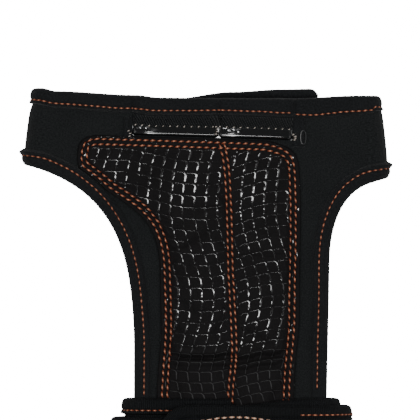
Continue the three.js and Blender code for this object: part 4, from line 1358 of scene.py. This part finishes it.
def onTopTurn(x, y, lift):
    slope = topHeight(x + 0.5, 1 + climbShare(x + 0.5)) - topHeight(x - 0.5, 1 + climbShare(x - 0.5))
    normal = unit(join(-slope, 0, 1.0))
    return join(x + wrap["centre"], y, topHeight(x, 1 + climbShare(x))) + normal * lift, normal


def rimOf(grid):
    return np.concatenate([grid[0], grid[1:, -1], grid[-1, ::-1][1:], grid[::-1, 0][1:]])


labelX, labelY = labelGrid(0)
labelMiddle, _ = onTopTurn(labelX, labelY, thin + labelPatch["lift"] - labelPatch["thickness"] / 2)
labelRim = np.minimum(fromEnds(labelPatch["columns"])[None], fromEnds(labelPatch["rows"])[:, None])
labelOver = labelPatch["thickness"] / 2 - 0.25 * np.exp(-labelRim / 2)  # worn thin at its rim
label = makePiece("labelPatch", *gridWall(labelMiddle, labelMiddle[..., :2], labelOver.ravel(),
                                          labelPatch["thickness"] / 2), labelSkin, "label_leather")
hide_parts("label_patch")
x, y = labelGrid(labelPatch["seam"]["in"])
path, normals = onTopTurn(rimOf(x), rimOf(y), thin + labelPatch["lift"] + 0.05)
labelThread = makePiece("labelThread", *stitchRun(path, normals, labelPatch["seam"]), peachThread,
                        "label_leather", sharp=0)

print("sewing the bar tacks")
# centre, spread and count of the short stitches that hold each tape end
barTacks = [(3.0, 80.2, 1.1, 4), (-22.3, 79.4, 0.8, 3), (25.8, 78.2, 0.8, 4)]
tackStitch = {"length": 0.85, "radius": 0.14, "lift": 1.35}
tacks = []
for centreX, centreY, spread, count in barTacks:
    places = join(centreX + rng.normal(0, 0.2, count), centreY + np.linspace(spread, -spread, count))
    points = palmPoint(places[:, 0], places[:, 1], half + gap + tackStitch["lift"])
    along = join(1.0, rng.uniform(-0.5, 0.9, count), 0.0)
    ups = palmNormal(places[:, 0], places[:, 1])
    tacks.append(stitchMesh(points, unit(along), ups, tackStitch["length"], tackStitch["radius"]))
tackThread = makePiece("tackThread", *joinMeshes(tacks), beigeThread, "web_knit", sharp=0)

# the tape end's loose loop of thread
threadLoop = {"centre": (28.5, 78.2), "half": (0.8, 2.0), "radius": 0.13, "lift": 1.3, "steps": 60,
              "sides": 8}
(centreX, centreY), (halfX, halfY) = threadLoop["centre"], threadLoop["half"]
turn = np.linspace(0, 2 * math.pi, threadLoop["steps"], endpoint=False)
loopX = centreX + halfX * np.sign(np.cos(turn)) * np.abs(np.cos(turn)) ** 0.8
loopY = centreY + halfY * np.sin(turn)
spine = palmPoint(loopX, loopY, half + threadLoop["lift"])
ahead = unit(np.roll(spine, -1, 0) - np.roll(spine, 1, 0))
side = unit(np.cross(palmNormal(loopX, loopY), ahead))
around = np.linspace(0, 2 * math.pi, threadLoop["sides"], endpoint=False)[None, :, None]
section = np.cos(around) * side[:, None] + np.sin(around) * np.cross(ahead, side)[:, None]
tube = spine[:, None] + threadLoop["radius"] * section
at = np.arange(len(turn) * threadLoop["sides"]).reshape(len(turn), -1)
after = np.roll(at, -1, 1)
quads = join(at, after, np.roll(after, -1, 0), np.roll(at, -1, 0)).reshape(-1, 4)
makePiece("threadLoop", tube.reshape(-1, 3), quads[:, ::-1], tube[..., :2].reshape(-1, 2), greyThread,
          "web_knit", sharp=0)

print("setting the stage")
studio = {"floor": 12.0, "glow": 16.0, "world": 0.04, "lens": 600.0, "pixels": 420, "scale": 0.3,
          "zeroPixel": (206.0, 398.5), "sharpHeight": 10.0}
reach = studio["floor"]
floorMesh = bpy.data.meshes.new("floor")
corners = [(-reach, -reach, 0), (reach, -reach, 0), (reach, reach, 0), (-reach, reach, 0)]
floorMesh.from_pydata(corners, [], [(0, 1, 2, 3)])
floor = addObject("floor", floorMesh)
floorPaint, tree, shader, _ = startMaterial("floorPaint", Roughness=0.9)
shader.inputs["Base Color"].default_value = (0.7, 0.7, 0.7, 1)
shader.inputs["Emission Color"].default_value = (1, 1, 1, 1)
seen = addNode(tree, "ShaderNodeLightPath").outputs["Is Camera Ray"]  # lit from behind, as a light table
tree.links.new(compute(tree, "MULTIPLY", seen, studio["glow"]), shader.inputs["Emission Strength"])
floorMesh.materials.append(floorPaint)
floor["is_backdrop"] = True

world = bpy.data.worlds.new("studio")
world.use_nodes = True
world.node_tree.nodes["Background"].inputs["Color"].default_value = (1, 1, 1, 1)
world.node_tree.nodes["Background"].inputs["Strength"].default_value = studio["world"]
bpy.context.scene.world = world

# place, width, depth and power of each soft box
for name, place, width, depth, power in (
    ("overhead", (0.0, 0.03, 1.2), 1.3, 0.3, 11.0),
    ("fingerSide", (0.1, 1.1, 0.75), 1.0, 0.5, 1.0),
    ("wristSide", (-0.1, -1.0, 0.6), 0.8, 0.3, 0.5),
    ("thumbSide", (-1.1, 0.1, 0.6), 0.8, 0.4, 0.4),
    ("littleSide", (1.1, 0.1, 0.6), 0.8, 0.4, 0.9),
):
    data = bpy.data.lights.new(name, "AREA")
    data.shape = "RECTANGLE"
    data.size, data.size_y, data.energy = width, depth, power
    light = addObject(name, data)
    light.location = place
    light.rotation_mode = "QUATERNION"
    light.rotation_quaternion = (Vector((0, 0.03, 0)) - Vector(place)).to_track_quat("-Z", "Y")

camera = bpy.data.cameras.new("camera")
camera.lens = studio["lens"]
camera.sensor_width = 36
eye = addObject("camera", camera)
wide = studio["pixels"] * studio["scale"] * millimetre
middle = toFrame([
    (studio["pixels"] / 2 - studio["zeroPixel"][0]) * studio["scale"],
    (studio["zeroPixel"][1] - studio["pixels"] / 2) * studio["scale"],
    studio["sharpHeight"],
])
eye.location = (middle[0], middle[1], middle[2] + wide * camera.lens / camera.sensor_width)
camera.clip_start, camera.clip_end = 0.1, 50
bpy.context.scene.camera = eye

low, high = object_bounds()
